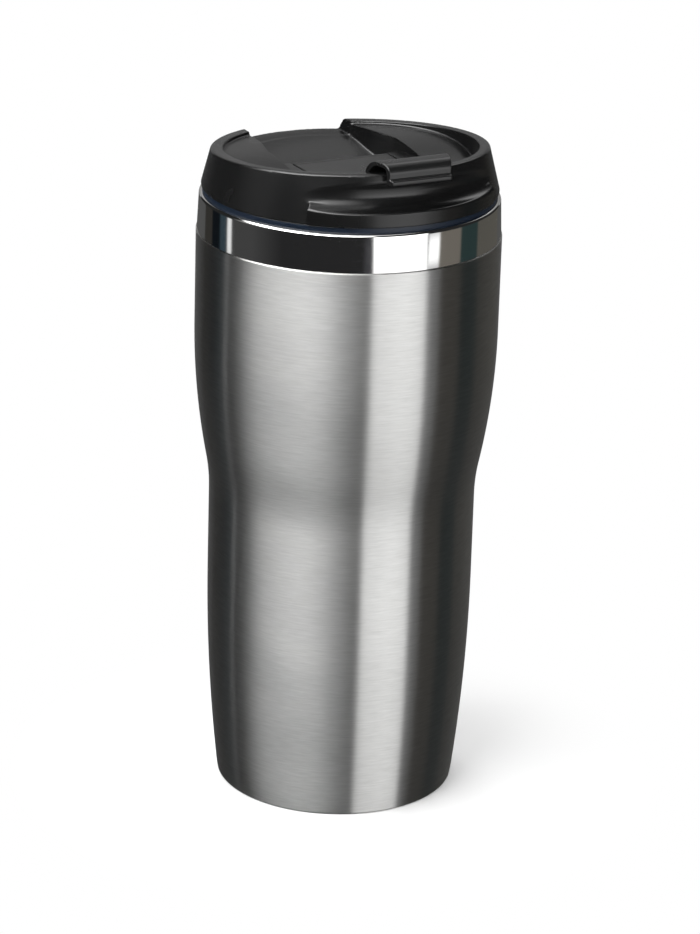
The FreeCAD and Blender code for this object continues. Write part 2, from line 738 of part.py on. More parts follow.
# ---------------------------------------------------------------- flap
def flap_profile(sketch):
    """Side view of the flap: plate, riser, hook over the rim, and the tab that a finger lifts."""
    riser, hook = RISER, HOOK
    riser_wall, hook_wall = cell("riser_wall"), cell("hook_wall")
    crest = f"({LID_BASE} + {cell('hook_height')})"
    tab_foot = f"({LID_BASE} + {cell('tab_height')})"
    tab_top = f"({tab_foot} + {cell('tab_wall')})"
    bend, back_bend = cell("hook_round"), cell("hook_back_round")
    inside, back_inside = f"({bend} - {hook_wall})", f"({back_bend} - {hook_wall})"
    draw(sketch, rounded([
        (HINGE_Y, PLATE_UNDER, None),
        (f"-{riser}", PLATE_UNDER, riser_wall),
        (f"-{riser}", f"({crest} - {hook_wall})", back_inside),
        (f"-({hook} - {hook_wall})", f"({crest} - {hook_wall})", inside),
        (f"-({hook} - {hook_wall})", tab_foot, None),
        (f"-({hook} + {cell('tab_reach')})", tab_foot, None),
        (f"-({hook} + {cell('tab_reach')})", tab_top, None),
        (f"-{hook}", tab_top, None),
        (f"-{hook}", crest, bend),
        (f"-({riser} - {riser_wall})", crest, back_bend),
        (f"-({riser} - {riser_wall})", PLATE_TOP, hook_wall),
        (HINGE_Y, PLATE_TOP, None),
    ]))


def make_flap():
    """The hinged flap, tapered towards its tab, with sockets for the stopper and the vent button."""
    body = new_body("flap")
    width = f"2 * {HALF_FLAP}"
    side = body_sketch(body, "YZ_Plane", "flap_side")
    flap_profile(side)
    add_feature(body, "Pad", "flap_strip", side, Midplane=True, Length=width)
    barrel = body_sketch(body, "YZ_Plane", "barrel_side")
    draw_circle(barrel, HINGE_Y, HINGE_Z, cell("barrel_radius"))
    add_feature(body, "Pad", "hinge_barrel", barrel, Midplane=True, Length=width)

    half, start = HALF_FLAP, f"({HOOK} - {cell('taper_length')})"
    far = f"({LID} + 10)"
    narrow = f"({half} - {cell('taper_slope')} * ({far} - {start}))"
    taper = body_sketch(body, "XY_Plane", "taper_plan", lift=f"{LID_BASE} - 5")
    for way in ("", "-"):
        draw(taper, [
            (f"{way}{half}", f"-{start}"),
            (f"{way}({half} + 5)", f"-{start}"),
            (f"{way}({half} + 5)", f"-{far}"),
            (f"{way}{narrow}", f"-{far}"),
        ])
    add_feature(body, "Pocket", "tapered", taper, Reversed=True, Length="60")

    sockets = body_sketch(body, "XY_Plane", "socket_outline", lift=f"{PLATE_UNDER} + {cell('plate_wall')} / 2")
    lap, wall, gap = cell("stopper_lap"), cell("socket_wall"), cell("socket_gap")
    pad_length = f"({cell('drink_length')} + 2 * {lap})"
    pad_width = f"({cell('drink_width')} + 2 * {lap})"
    drink_y, vent_y = f"-{DRINK}", f"-{VENT}"
    button = cell("vent_button_radius")
    draw(sockets, slot_path(drink_y, f"({pad_length} + 2 * ({wall} + {gap}))",
                            f"({pad_width} + 2 * ({wall} + {gap}))"))
    draw_circle(sockets, "0", vent_y, f"{button} + {wall} + {gap}")
    depth = cell("socket_depth")
    add_feature(body, "Pad", "sockets", sockets, Reversed=True, Length=f"{depth} + {cell('plate_wall')} / 2")
    mouths = body_sketch(body, "XY_Plane", "socket_mouths", lift=f"{PLATE_UNDER} - {depth} - 1")
    draw(mouths, slot_path(drink_y, f"({pad_length} + 2 * {gap})", f"({pad_width} + 2 * {gap})"))
    draw_circle(mouths, "0", vent_y, f"{button} + {gap}")
    add_feature(body, "Pocket", "socket_hollows", mouths, Reversed=True, Length=f"{depth} + 1")

    bore = body_sketch(body, "YZ_Plane", "flap_bore_side")
    draw_circle(bore, HINGE_Y, HINGE_Z, f"{cell('pin_radius')} + {cell('pin_running_gap')}")
    add_feature(body, "Pocket", "flap_bore", bore, Type="ThroughAll", Midplane=True)
    return body


def make_flap_stopper():
    """The silicone stopper: a pad in the flap's socket, with a nub that fills the drinking hole."""
    body = new_body("flap_stopper")
    lap = cell("stopper_lap")
    drink_y = f"-{DRINK}"
    pad = body_sketch(body, "XY_Plane", "stopper_outline", lift=FLOOR)
    draw(pad, slot_path(drink_y, f"({cell('drink_length')} + 2 * {lap})", f"({cell('drink_width')} + 2 * {lap})"))
    add_feature(body, "Pad", "stopper_pad", pad, Length=f"{PLATE_UNDER} - {FLOOR}")
    nub = body_sketch(body, "XY_Plane", "nub_outline", lift=FLOOR)
    gap = cell("stopper_nub_gap")
    draw(nub, slot_path(drink_y, f"({cell('drink_length')} - 2 * {gap})", f"({cell('drink_width')} - 2 * {gap})"))
    add_feature(body, "Pad", "stopper_nub_pad", nub, Reversed=True, Length=cell("stopper_nub"))
    return body


def make_vent_button():
    """The small silicone button that closes the air hole."""
    button = doc.addObject("Part::Cylinder", "vent_button")
    button.Label = "vent_button"
    button.setExpression("Radius", cell("vent_button_radius"))
    button.setExpression("Height", f"{PLATE_UNDER} - {FLOOR}")
    button.setExpression("Placement.Base.y", f"-{VENT}")
    button.setExpression("Placement.Base.z", FLOOR)
    return button


def make_hinge_pin():
    """The steel pin that the flap turns on, pressed into both ledges."""
    body = new_body("hinge_pin")
    side = body_sketch(body, "YZ_Plane", "pin_side")
    draw_circle(side, HINGE_Y, HINGE_Z, cell("pin_radius"))
    add_feature(body, "Pad", "pin_rod", side, Midplane=True, Length=f"2 * ({CHANNEL} + {cell('pin_grip')})")
    return body


# ---------------------------------------------------------------- build, check and write
pieces = [
    make_outer_shell(),
    make_base_plate(),
    make_polished_collar(),
    make_inner_liner(),
    make_lid_seal(),
    make_lid_cover(make_lid_blank()),
    make_lid_plug(),
    make_flap(),
    make_flap_stopper(),
    make_vent_button(),
    make_hinge_pin(),
]
doc.recompute()

for item in doc.Objects:
    if "Invalid" in item.State or "Error" in item.State:
        raise RuntimeError(f"{item.Name} failed to compute: {item.State}")
for piece in pieces:
    shape = piece.Shape
    if shape.isNull() or not shape.isValid():
        raise RuntimeError(f"{piece.Label} has no valid shape")
    if len(shape.Solids) != 1:
        raise RuntimeError(f"{piece.Label} is {len(shape.Solids)} solids")

os.makedirs("parts", exist_ok=True)
for piece in pieces:
    shape = piece.Shape
    shape.exportStep(f"parts/{piece.Label}.step")
    box = shape.optimalBoundingBox()
    print(f"{piece.Label:16s} volume {shape.Volume:10.1f} mm3  faces {len(shape.Faces):3d}  "
          f"x {box.XMin:7.2f} {box.XMax:7.2f}  y {box.YMin:7.2f} {box.YMax:7.2f}  "
          f"z {box.ZMin:7.2f} {box.ZMax:7.2f}")
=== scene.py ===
# %% [markdown]
# # Dressing an insulated travel mug
# The CAD part gives the exact solids and the joints.  This lesson gives each of them the surface that a
# camera sees: spun and brushed steel, a mirror-bright collar, moulded black plastic and silicone.
# Everything is in metres in the CAD's own frame: +Z up, the drinking side towards -Y.

import math

import bpy
import numpy as np
import openvdb
from mathutils import Matrix, Vector


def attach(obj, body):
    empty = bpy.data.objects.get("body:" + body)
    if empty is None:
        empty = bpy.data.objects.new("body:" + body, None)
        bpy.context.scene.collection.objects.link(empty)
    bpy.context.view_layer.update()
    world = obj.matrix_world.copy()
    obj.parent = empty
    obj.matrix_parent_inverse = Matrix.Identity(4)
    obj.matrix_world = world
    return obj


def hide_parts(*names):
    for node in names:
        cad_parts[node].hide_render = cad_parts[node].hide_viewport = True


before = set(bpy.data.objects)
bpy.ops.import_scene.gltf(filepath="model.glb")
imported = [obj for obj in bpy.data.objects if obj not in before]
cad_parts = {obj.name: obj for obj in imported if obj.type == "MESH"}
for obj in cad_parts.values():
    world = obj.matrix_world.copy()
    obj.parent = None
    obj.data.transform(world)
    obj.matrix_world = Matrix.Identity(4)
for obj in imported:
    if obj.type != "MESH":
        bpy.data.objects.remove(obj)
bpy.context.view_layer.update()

# %% [markdown]
# ## Sizes
# The sizes are those of the part's source, written once more in millimetres because this script reads
# no other file.  Each surface below is worked out in millimetres and divided by 1000 as it is put into
# its mesh, so the numbers stay easy to read.  A size that only one piece uses stands with that piece.

# %% Sizes shared by the pieces, in millimetres
MM = 0.001
SHOULDER = 42.2            # largest radius of the shell
NECK_Z = 162.0             # where the shell ends and the collar begins to show
RIM_TOP = 172.7            # top of the polished collar's rolled rim
MOUTH = 38.6               # inner radius of the cup's mouth
CUP_TOP = 171.9            # top edge of the cup, under the rolled rim
PLUG_TOP = 173.2           # top edge of the threaded plug, where the lid cover holds it
LID_BASE = 174.4           # underside of the lid cover's edge, on the seal
FLOOR = 175.2              # floor of the lid's channel and basin
PLATE_TOP = 180.4          # top of the flap's flat plate, and of the pad under its tab
HALF_FLAP = 14.5           # half the flap's width over the channel
HINGE_Y, HINGE_Z = 6.2, 178.0
DRINK_Y, DRINK_HALF, DRINK_R = -25.0, 2.5, 4.5      # drinking hole: middle, half its straight part, ends
VENT_Y, VENT_R = -9.0, 1.2
print(f"mouth {2 * MOUTH} mm wide, lid seated at {LID_BASE} mm, hinge at y {HINGE_Y} and z {HINGE_Z} mm")


# %% [markdown]
# ## Putting a surface into a mesh
# Every turned piece is a profile, a closed line of (radius, height) points, carried round the mug's axis.
# Blender's Screw modifier would turn it too.  A grid of points made from two whole arrays, profile and
# angle multiplied together, does the same in a few lines and gives the unrolled uv map as well, which the
# brushed marks need.

# %% Mesh helpers
TURN_STEPS = 256                    # facets round a turned piece
UNROLL_R = 40                       # the uv map unrolls a turned piece at this radius
SHARP_EDGE = math.radians(35)       # where two faces meet more steeply than this, the edge stays crisp


def put_mesh(name, points, loops, starts, body, material, nodes, uv=None, normals=None):
    """Put a surface into a mesh that rides on a body and stands for some CAD nodes.  The points are in
    millimetres, loops is one row of the faces' corner numbers, and starts is each face's first place in
    that row.  A uv map has one pair for each point, and normals are one vector for each face's corner."""
    mesh = bpy.data.meshes.new(name)
    mesh.vertices.add(len(points))
    mesh.vertices.foreach_set("co", (points * MM).astype(np.float32).ravel())
    mesh.loops.add(len(loops))
    mesh.loops.foreach_set("vertex_index", loops.astype(np.int32))
    mesh.polygons.add(len(starts))
    mesh.polygons.foreach_set("loop_start", starts.astype(np.int32))
    if uv is not None:
        layer = mesh.uv_layers.new(name="surface")
        layer.data.foreach_set("uv", uv[loops].astype(np.float32).ravel())
    mesh.update(calc_edges=True)
    mesh.validate()
    mesh.shade_smooth()
    if normals is not None:
        mesh.normals_split_custom_set(normals.tolist())
    else:
        mesh.set_sharp_from_angle(angle=SHARP_EDGE)
    piece = bpy.data.objects.new(name, mesh)
    bpy.context.scene.collection.objects.link(piece)
    mesh.materials.append(material)
    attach(piece, body)
    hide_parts(*nodes)
    triangles = int(np.sum(np.diff(np.append(starts, len(loops))) - 2))
    print(f"{name}: {len(points)} points, {triangles} triangles")


def turn(profile, closed=True):
    """Carry a profile of (radius, height) points round the Z axis.  Point (i, j) of the grid is
    (r_j cos t_i, r_j sin t_i, z_j) with t_i = 2 pi i / steps.  An open profile starts and ends a hair from
    the axis, and its first and last rings are closed by one face each.  The uv map unrolls the surface:
    arc length round the mug at 40 mm radius, and arc length along the profile, both in millimetres."""
    steps, count = TURN_STEPS, len(profile)
    angle = np.arange(steps) * 2 * np.pi / steps
    points = np.stack([
        np.outer(np.cos(angle), profile[:, 0]),
        np.outer(np.sin(angle), profile[:, 0]),
        np.broadcast_to(profile[:, 1], (steps, count)),
    ], axis=-1).reshape(-1, 3)
    along = np.append(0, np.cumsum(np.hypot(*np.diff(profile, axis=0).T)))
    uv = np.stack([np.repeat(angle * UNROLL_R, count), np.tile(along, steps)], axis=-1)
    rows = count if closed else count - 1
    i, j = np.meshgrid(np.arange(steps), np.arange(rows), indexing="ij")
    i_next, j_next = (i + 1) % steps, (j + 1) % count
    corners = (i * count + j, i_next * count + j, i_next * count + j_next, i * count + j_next)
    loops = np.stack(corners, axis=-1).ravel()
    starts = np.arange(steps * rows) * 4
    if not closed:
        low_cap = (np.arange(steps) * count)[::-1]
        high_cap = np.arange(steps) * count + count - 1
        starts = np.append(starts, [len(loops), len(loops) + steps])
        loops = np.concatenate([loops, low_cap, high_cap])
    return points, loops, starts, uv


def rounded_line(corners, closed=True, step=9):
    """A line through (x, y) or (x, y, radius) corners with each corner rounded by an arc of that radius,
    one point each few degrees.  The arc touches both sides at radius / tan(half the angle between them)
    from the corner."""
    corners = np.asarray([(*corner, 0)[:3] for corner in corners], dtype=float)
    line = []
    for index, (x, y, radius) in enumerate(corners):
        here = np.array([x, y])
        if radius == 0 or (not closed and index in (0, len(corners) - 1)):
            line.append(here[None])
            continue
        back = corners[index - 1, :2] - here
        ahead = corners[(index + 1) % len(corners), :2] - here
        back, ahead = back / np.hypot(*back), ahead / np.hypot(*ahead)
        half = math.acos(np.clip(np.dot(back, ahead), -1, 1)) / 2
        centre = here + (back + ahead) / np.hypot(*(back + ahead)) * radius / math.sin(half)
        first = here + back * radius / math.tan(half) - centre
        turn_by = math.pi - 2 * half
        sign = np.sign(-back[0] * ahead[1] + back[1] * ahead[0]) or 1
        count = max(3, int(math.degrees(turn_by) / step) + 2)
        angles = np.linspace(0, turn_by * sign, count)
        line.append(centre + np.stack([
            first[0] * np.cos(angles) - first[1] * np.sin(angles),
            first[0] * np.sin(angles) + first[1] * np.cos(angles),
        ], axis=-1))
    return np.concatenate(line)


square_corner = rounded_line([(0, 0), (9, 0, 3), (9, 9)], closed=False)
print("a square corner rounded by 3 mm takes", len(square_corner) - 2, "points")


# %% [markdown]
# ## Shader helpers
# A finish is a few nodes: streaks or grain from noise, turned into small changes of colour, roughness
# and bump.  Brush marks on a spun cup run round it, so their noise is read on the unrolled surface,
# squeezed hard up the mug and stretched round it.  A picture of brushed steel would need a seam and a
# resolution; noise needs neither.

# %% Shader helpers
class Finish:
    """A material with a Principled shader whose plain numbers are set on its own sockets."""

    def __init__(self, name, **sockets):
        self.material = bpy.data.materials.new(name)
        self.material.use_nodes = True
        self.tree = self.material.node_tree
        self.shader = self.tree.nodes["Principled BSDF"]
        for socket, setting in sockets.items():
            self.shader.inputs[socket.replace("_", " ")].default_value = setting

    def node(self, kind, **settings):
        """Add a node; settings whose name is an input socket go there, the rest are its properties."""
        made = self.tree.nodes.new(kind)
        for key, setting in settings.items():
            socket = key.replace("_", " ")
            if socket in made.inputs:
                made.inputs[socket].default_value = setting
            else:
                setattr(made, key, setting)
        return made

    def link(self, source, target):
        """Join a node's output to another's input."""
        self.tree.links.new(source, target)

    def feed(self, **sources):
        """Link node outputs to the shader's inputs of those names."""
        for socket, source in sources.items():
            self.link(source, self.shader.inputs[socket.replace("_", " ")])

    def object_place(self):
        """Object coordinates, in metres."""
        return self.node("ShaderNodeTexCoord").outputs["Object"]

    def surface_place(self):
        """The unrolled surface's own uv map, in millimetres."""
        return self.node("ShaderNodeUVMap", uv_map="surface").outputs["UV"]

    def noise(self, place, scale, detail=3, roughness=0.5):
        """Noise read at a place that is stretched by scale, a triple in cycles per unit of the place."""
        squeeze = self.node("ShaderNodeVectorMath", operation="MULTIPLY")
        squeeze.inputs[1].default_value = scale
        self.link(place, squeeze.inputs[0])
        grain = self.node("ShaderNodeTexNoise", Scale=1.0, Detail=detail, Roughness=roughness)
        self.link(squeeze.outputs[0], grain.inputs["Vector"])
        return grain.outputs["Fac"]

    def weighted(self, first, second, share):
        """share * first + (1 - share) * second."""
        rest = self.node("ShaderNodeMath", operation="MULTIPLY")
        rest.inputs[1].default_value = 1 - share
        self.link(second, rest.inputs[0])
        total = self.node("ShaderNodeMath", operation="MULTIPLY_ADD")
        total.inputs[1].default_value = share
        self.link(first, total.inputs[0])
        self.link(rest.outputs[0], total.inputs[2])
        return total.outputs[0]

    def between(self, value, low, high, low_in=0.3, high_in=0.7):
        """Map a value that mostly lies from low_in to high_in onto the range low to high."""
        spread = self.node("ShaderNodeMapRange", From_Min=low_in, From_Max=high_in, To_Min=low, To_Max=high)
        self.link(value, spread.inputs["Value"])
        return spread.outputs["Result"]

    def mix_colour(self, value, first, second):
        """A colour between two, by a 0 to 1 value."""
        mixer = self.node("ShaderNodeMix", data_type="RGBA", A=(*first, 1), B=(*second, 1))
        self.link(value, mixer.inputs[0])
        return mixer.outputs["Result"]

    def bump(self, height, strength, distance):
        """Raise the shading by a height value."""
        bump = self.node("ShaderNodeBump", Strength=strength, Distance=distance)
        self.link(height, bump.inputs["Height"])
        return bump.outputs["Normal"]


print("a finish can have noise, weighted sums, ranges, mixed colours and bumps")

# %% [markdown]
# ## Steel finishes
# The shell is brushed: fine marks run round it, so a highlight spreads up and down the mug and stays
# crisp from side to side.  That is an anisotropic shader, its tangent taken from the unrolled surface.
# The collar is the same steel polished to a mirror, with the faintest turning marks left.

# %% Brushed, polished and satin steel
HAIRLINE_BUMP = 0.00002             # depth of the finest marks in steel, in metres


def brushed_steel():
    """Brushed marks are two noises in the shares 0.55 and 0.45, about 6 and 8 mm long and half a
    millimetre high, which move the colour by a tenth either way; broad clouds move the roughness."""
    finish = Finish("brushed_shell_steel", Metallic=1.0, Roughness=0.33, Anisotropic=1.0,
                    Anisotropic_Rotation=0.25)
    place = finish.surface_place()
    hairlines = finish.noise(place, (0.18, 2.8, 1.0), detail=4, roughness=0.65)
    patches = finish.noise(place, (0.12, 1.4, 1.0), detail=3, roughness=0.6)
    clouds = finish.noise(place, (0.03, 0.05, 1.0), detail=2)
    marks = finish.between(finish.weighted(hairlines, patches, 0.55), 0, 1, 0.35, 0.65)
    tangent = finish.node("ShaderNodeTangent", direction_type="UV_MAP", uv_map="surface")
    finish.feed(Base_Color=finish.mix_colour(marks, (0.53, 0.53, 0.52), (0.64, 0.64, 0.63)),
                Roughness=finish.between(clouds, 0.315, 0.345),
                Normal=finish.bump(hairlines, 0.25, HAIRLINE_BUMP),
                Tangent=tangent.outputs[0])
    return finish.material


def polished_steel():
    """A mirror with faint turning marks, a quarter of a millimetre apart and about 50 mm long."""
    finish = Finish("polished_collar_steel", Metallic=1.0, Roughness=0.07)
    turning = finish.noise(finish.surface_place(), (0.02, 4.0, 1.0), detail=3, roughness=0.6)
    finish.feed(Base_Color=finish.mix_colour(turning, (0.74, 0.74, 0.73), (0.82, 0.82, 0.81)),
                Roughness=finish.between(turning, 0.05, 0.1),
                Normal=finish.bump(turning, 0.06, HAIRLINE_BUMP))
    return finish.material


def satin_steel(name, tone, rough):
    """Plain turned steel: the colour goes from 0.93 to 1.05 times its tone by a fine grain, and the
    roughness up to 0.05 either way by clouds about 30 mm wide."""
    finish = Finish(name, Metallic=1.0, Roughness=rough)
    place = finish.object_place()
    grain = finish.noise(place, (900, 900, 2500), detail=3)
    clouds = finish.noise(place, (30, 30, 30), detail=2)
    low, high = tone * 0.93, tone * 1.05
    finish.feed(Base_Color=finish.mix_colour(grain, (low, low, low * 0.99), (high, high, high * 0.99)),
                Roughness=finish.between(clouds, rough - 0.05, rough + 0.05),
                Normal=finish.bump(grain, 0.1, HAIRLINE_BUMP))
    return finish.material


SHELL_STEEL = brushed_steel()
COLLAR_STEEL = polished_steel()
LINER_STEEL = satin_steel("liner_steel", 0.6, 0.3)
BASE_STEEL = satin_steel("base_steel", 0.58, 0.36)
PIN_STEEL = satin_steel("pin_steel", 0.6, 0.25)
for steel in (SHELL_STEEL, COLLAR_STEEL, LINER_STEEL, BASE_STEEL, PIN_STEEL):
    print(steel.name, "has", len(steel.node_tree.nodes), "nodes")

# %% [markdown]
# ## Plastic and silicone
# The lid is black polypropylene from a finely blasted mould: a very fine grain, a soft sheen, and
# hardly any colour.  Silicone is smoother and a little softer in its highlight.

# %% Black plastic and silicone
GRAIN_SCALE = 2600                  # cycles to the metre of the mould's blasted grain


def moulded_plastic(name, tone=0.005, rough=0.24, specular=0.42):
    """Black plastic: clouds about 15 mm wide move the colour from 0.85 to 1.15 times its tone, a touch
    bluer in the dark, and the roughness by up to 0.04; the blasted grain is a slight bump."""
    finish = Finish(name, Roughness=rough, Specular_IOR_Level=specular, IOR=1.5)
    place = finish.object_place()
    grain = finish.noise(place, (GRAIN_SCALE,) * 3, detail=2)
    clouds = finish.noise(place, (60, 60, 60), detail=3)
    darker = (tone * 0.85, tone * 0.87, tone * 0.9)
    finish.feed(Base_Color=finish.mix_colour(clouds, darker, (tone * 1.15,) * 3),
                Roughness=finish.between(clouds, rough - 0.04, rough + 0.04),
                Normal=finish.bump(grain, 0.05, 0.00003))
    return finish.material


def silicone(name, colour, rough=0.36):
    """Silicone: clouds about 7 mm wide darken its colour by up to a fifth and move its roughness by up
    to 0.05, with a bump of a tenth of a millimetre, hardly felt."""
    finish = Finish(name, Roughness=rough, IOR=1.43)
    clouds = finish.noise(finish.object_place(), (150, 150, 150), detail=3)
    darker = tuple(part * 0.8 for part in colour)
    finish.feed(Base_Color=finish.mix_colour(clouds, darker, colour),
                Roughness=finish.between(clouds, rough - 0.05, rough + 0.05),
                Normal=finish.bump(clouds, 0.05, 0.0001))
    return finish.material


LID_PLASTIC = moulded_plastic("lid_plastic")
PLUG_PLASTIC = moulded_plastic("plug_plastic", 0.006, 0.32, 0.5)
FLAP_PLASTIC = moulded_plastic("flap_plastic", 0.006, 0.28, 0.5)
SEAL_SILICONE = silicone("seal_silicone", (0.004, 0.009, 0.019), 0.42)
STOPPER_SILICONE = silicone("stopper_silicone", (0.03, 0.03, 0.032))
for soft in (LID_PLASTIC, PLUG_PLASTIC, FLAP_PLASTIC, SEAL_SILICONE, STOPPER_SILICONE):
    print(soft.name, "has", len(soft.node_tree.nodes), "nodes")


# %% [markdown]
# ## The outer shell
# On the real mug this is one steel sheet, spun to shape.  It could be a tube pushed into shape by hand, but
# a profile turned about the axis is exactly what spinning makes.  The side is a formula for the radius at
# each height: an arc from the foot that stands upright at the belly, a short straight waist, a tight
# hollow flare, and a long arc out to the shoulder.

# %% The outer shell
BELLY_Z, WAIST_Z, SHOULDER_Z, LIP_Z = 62.0, 86.0, 135.0, 161.3
FOOT_R, BELLY_R, WALL, FLARE = 33.7, 37.45, 0.8, 55.0
STEP_R, STEP_Z = 30.9, 0.8          # inner edge of the foot, round the base plate


def shell_radius(height):
    """Radius of the shell's outside at each height.  Foot arc: belly - R + sqrt(R^2 - (62 - z)^2).  The
    flare and the long arc touch where the line between their centres crosses them."""
    sag = BELLY_R - FOOT_R
    foot_arc = (BELLY_Z ** 2 + sag ** 2) / (2 * sag)
    out, lift = SHOULDER - BELLY_R, SHOULDER_Z - WAIST_Z
    span = (out ** 2 + lift ** 2) / (2 * out)
    long_arc = span - FLARE
    touch = WAIST_Z + FLARE * lift / span
    foot = BELLY_R - foot_arc + np.sqrt(foot_arc ** 2 - (BELLY_Z - height) ** 2)
    flare = BELLY_R + FLARE - np.sqrt(np.maximum(FLARE ** 2 - (height - WAIST_Z) ** 2, 0))
    upper = SHOULDER - long_arc + np.sqrt(np.maximum(long_arc ** 2 - (SHOULDER_Z - height) ** 2, 0))
    radius = np.where(height < BELLY_Z, foot, BELLY_R)
    radius = np.where(height > WAIST_Z, flare, radius)
    radius = np.where(height > touch, upper, radius)
    return np.where(height > SHOULDER_Z, SHOULDER, radius)


heights = np.concatenate([  # close together where the waist turns into the flare
    np.arange(STEP_Z, 84, 1.5), np.arange(84, 102, 0.5), np.arange(102, 161, 1.5), [LIP_Z],
])
outside = np.stack([shell_radius(heights), heights], axis=-1)
inside = outside[::-3] - [WALL, 0]
inside = inside[(inside[:, 1] > 2) & (inside[:, 1] < 160)]
foot_line = [(STEP_R, STEP_Z), (STEP_R, 0.0), (FOOT_R - 0.02, 0.0, 0.75), (FOOT_R, STEP_Z + 0.01)]
lip_line = [(SHOULDER, LIP_Z), (SHOULDER, NECK_Z, 0.2), (SHOULDER - WALL, NECK_Z)]
shell_profile = np.concatenate([
    rounded_line(foot_line, closed=False),
    outside[1:-1],
    rounded_line(lip_line, closed=False),
    inside,
    [(FOOT_R - WALL, STEP_Z)],
])
points, loops, starts, uv = turn(shell_profile)
put_mesh("shell", points, loops, starts, "mug", SHELL_STEEL, ["outer_shell"], uv)

# %% [markdown]
# ## The polished collar
# A separate ring with a mirror finish.  Its lower edge sits on the shell with a fine line between them,
# its side draws in a little on the way up, and its rim is rolled inwards over the cup's edge, which is
# the bright thread of light under the lid.  A bevelled cylinder would show flat bands in so bright a
# finish, so each round is an arc of the profile.

# %% The polished collar
SLEEVE_BASE, SLEEVE_IN, SLEEVE_OUT = 157.0, 40.5, 41.3      # the part of the collar inside the shell
STEP_OUT, COLLAR_LOW, COLLAR_HIGH = 41.6, 41.95, 41.48      # radii above the shell's edge and at the rim
collar_profile = rounded_line([
    (SLEEVE_IN, SLEEVE_BASE), (SLEEVE_OUT, SLEEVE_BASE, 0.2), (SLEEVE_OUT, NECK_Z), (STEP_OUT, NECK_Z),
    (COLLAR_LOW, NECK_Z + 0.02, 0.2), (COLLAR_HIGH, RIM_TOP, 0.9), (MOUTH, RIM_TOP, 0.35),
    (MOUTH, CUP_TOP), (SLEEVE_IN, CUP_TOP),
])
points, loops, starts, uv = turn(collar_profile)
put_mesh("collar", points, loops, starts, "mug", COLLAR_STEEL, ["polished_collar"], uv)

# %% [markdown]
# ## The inner cup
# Seen only when the lid comes off: a straight mouth with a rolled thread, a throat, a long taper and a
# rounded floor.  A thread could be a helix of its own that cuts into the wall.  A rolled one is the wall
# itself, so here it is a low wave added to the mouth's radius where three starts pass by.

# %% The inner cup
PINHOLE = 0.05                      # an open profile ends this far from the axis
CUP_BASE, CUP_FLOOR, THROAT_Z, MOUTH_Z = 5.2, 6.0, 138.7, 152.7
BASE_OUT, THROAT_OUT, MOUTH_OUT = 31.9, 34.8, 39.4      # radii of the cup's outside, from the floor up
BASE_IN, THROAT_IN = 31.5, 34.0                         # and of its inside, below the mouth
THREAD_DEPTH, THREAD_LEAD, THREAD_STARTS, RIDGE_HALF = 0.62, 9.0, 3, 1.1


def wall_rows(radius, first, last):
    """Sixty points along a straight wall, close enough together to carry the thread."""
    return [(radius, height) for height in np.linspace(first, last, 60)]


def thread_wave(angle, height, low, high):
    """Height of a rounded thread, 0 to 1: it follows height = lead * turns, three times round, and fades
    in and out near its two ends."""
    pitch = THREAD_LEAD / THREAD_STARTS
    phase = (height - THREAD_LEAD * angle / (2 * np.pi)) / pitch
    away = np.abs(phase - np.round(phase)) * pitch
    wave = 0.5 + 0.5 * np.cos(np.pi * np.clip(away / RIDGE_HALF, 0, 1))
    fade = np.clip((height - low) / 1.5, 0, 1) * np.clip((high - height) / 1.5, 0, 1)
    return wave * fade


def add_thread(points, wall, low, high, out, lift=0.0):
    """Move the points of one wall, found by its radius, out by the wave times out, which is below zero
    for a ridge that stands inwards.  Lift lowers the helix by that much, but not its two ends."""
    angle, reach = np.arctan2(points[:, 1], points[:, 0]), np.hypot(points[:, 0], points[:, 1])
    on_wall = np.abs(reach - wall) < 0.001
    ridge = np.where(on_wall, out * thread_wave(angle, points[:, 2] + lift, low + lift, high + lift), 0)
    points[:, :2] *= ((reach + ridge) / reach)[:, None]


cup_profile = rounded_line([
    (PINHOLE, CUP_BASE), (BASE_OUT, CUP_BASE, 8.6), (THROAT_OUT, THROAT_Z, 3), (MOUTH_OUT, MOUTH_Z, 4),
    (MOUTH_OUT, CUP_TOP), (MOUTH, CUP_TOP), *wall_rows(MOUTH, CUP_TOP - 0.2, MOUTH_Z + 1.8),
    (MOUTH, MOUTH_Z, 4.8), (THROAT_IN, THROAT_Z, 3.8), (BASE_IN, CUP_FLOOR, 7.6), (PINHOLE, CUP_FLOOR),
], closed=False, step=4)
points, loops, starts, uv = turn(cup_profile, closed=False)
add_thread(points, MOUTH, 156.0, 168.5, -THREAD_DEPTH)
put_mesh("cup", points, loops, starts, "mug", LINER_STEEL, ["inner_liner"], uv)

# %% [markdown]
# ## The seal ring
# A silicone ring squeezed between rim and lid: its outer edge bulges a little.  A torus would be too
# round for it, so the bulge is a flat half ellipse in a turned profile.

# %% The seal ring
SEAL_IN, SEAL_OUT, SEAL_BULGE, SEAL_MIDDLE, SEAL_HALF = 38.75, 40.5, 0.15, 173.55, 0.84
bulge = np.linspace(-1, 1, 13)
swell = SEAL_OUT + SEAL_BULGE * np.sqrt(np.maximum(1 - bulge ** 2, 0))
seal_profile = np.concatenate([
    [(SEAL_IN, LID_BASE), (SEAL_IN, RIM_TOP)],
    np.stack([swell, SEAL_MIDDLE + SEAL_HALF * bulge], axis=-1),
])
points, loops, starts, uv = turn(seal_profile)
put_mesh("seal_ring", points, loops, starts, "seal", SEAL_SILICONE, ["lid_seal"], uv)


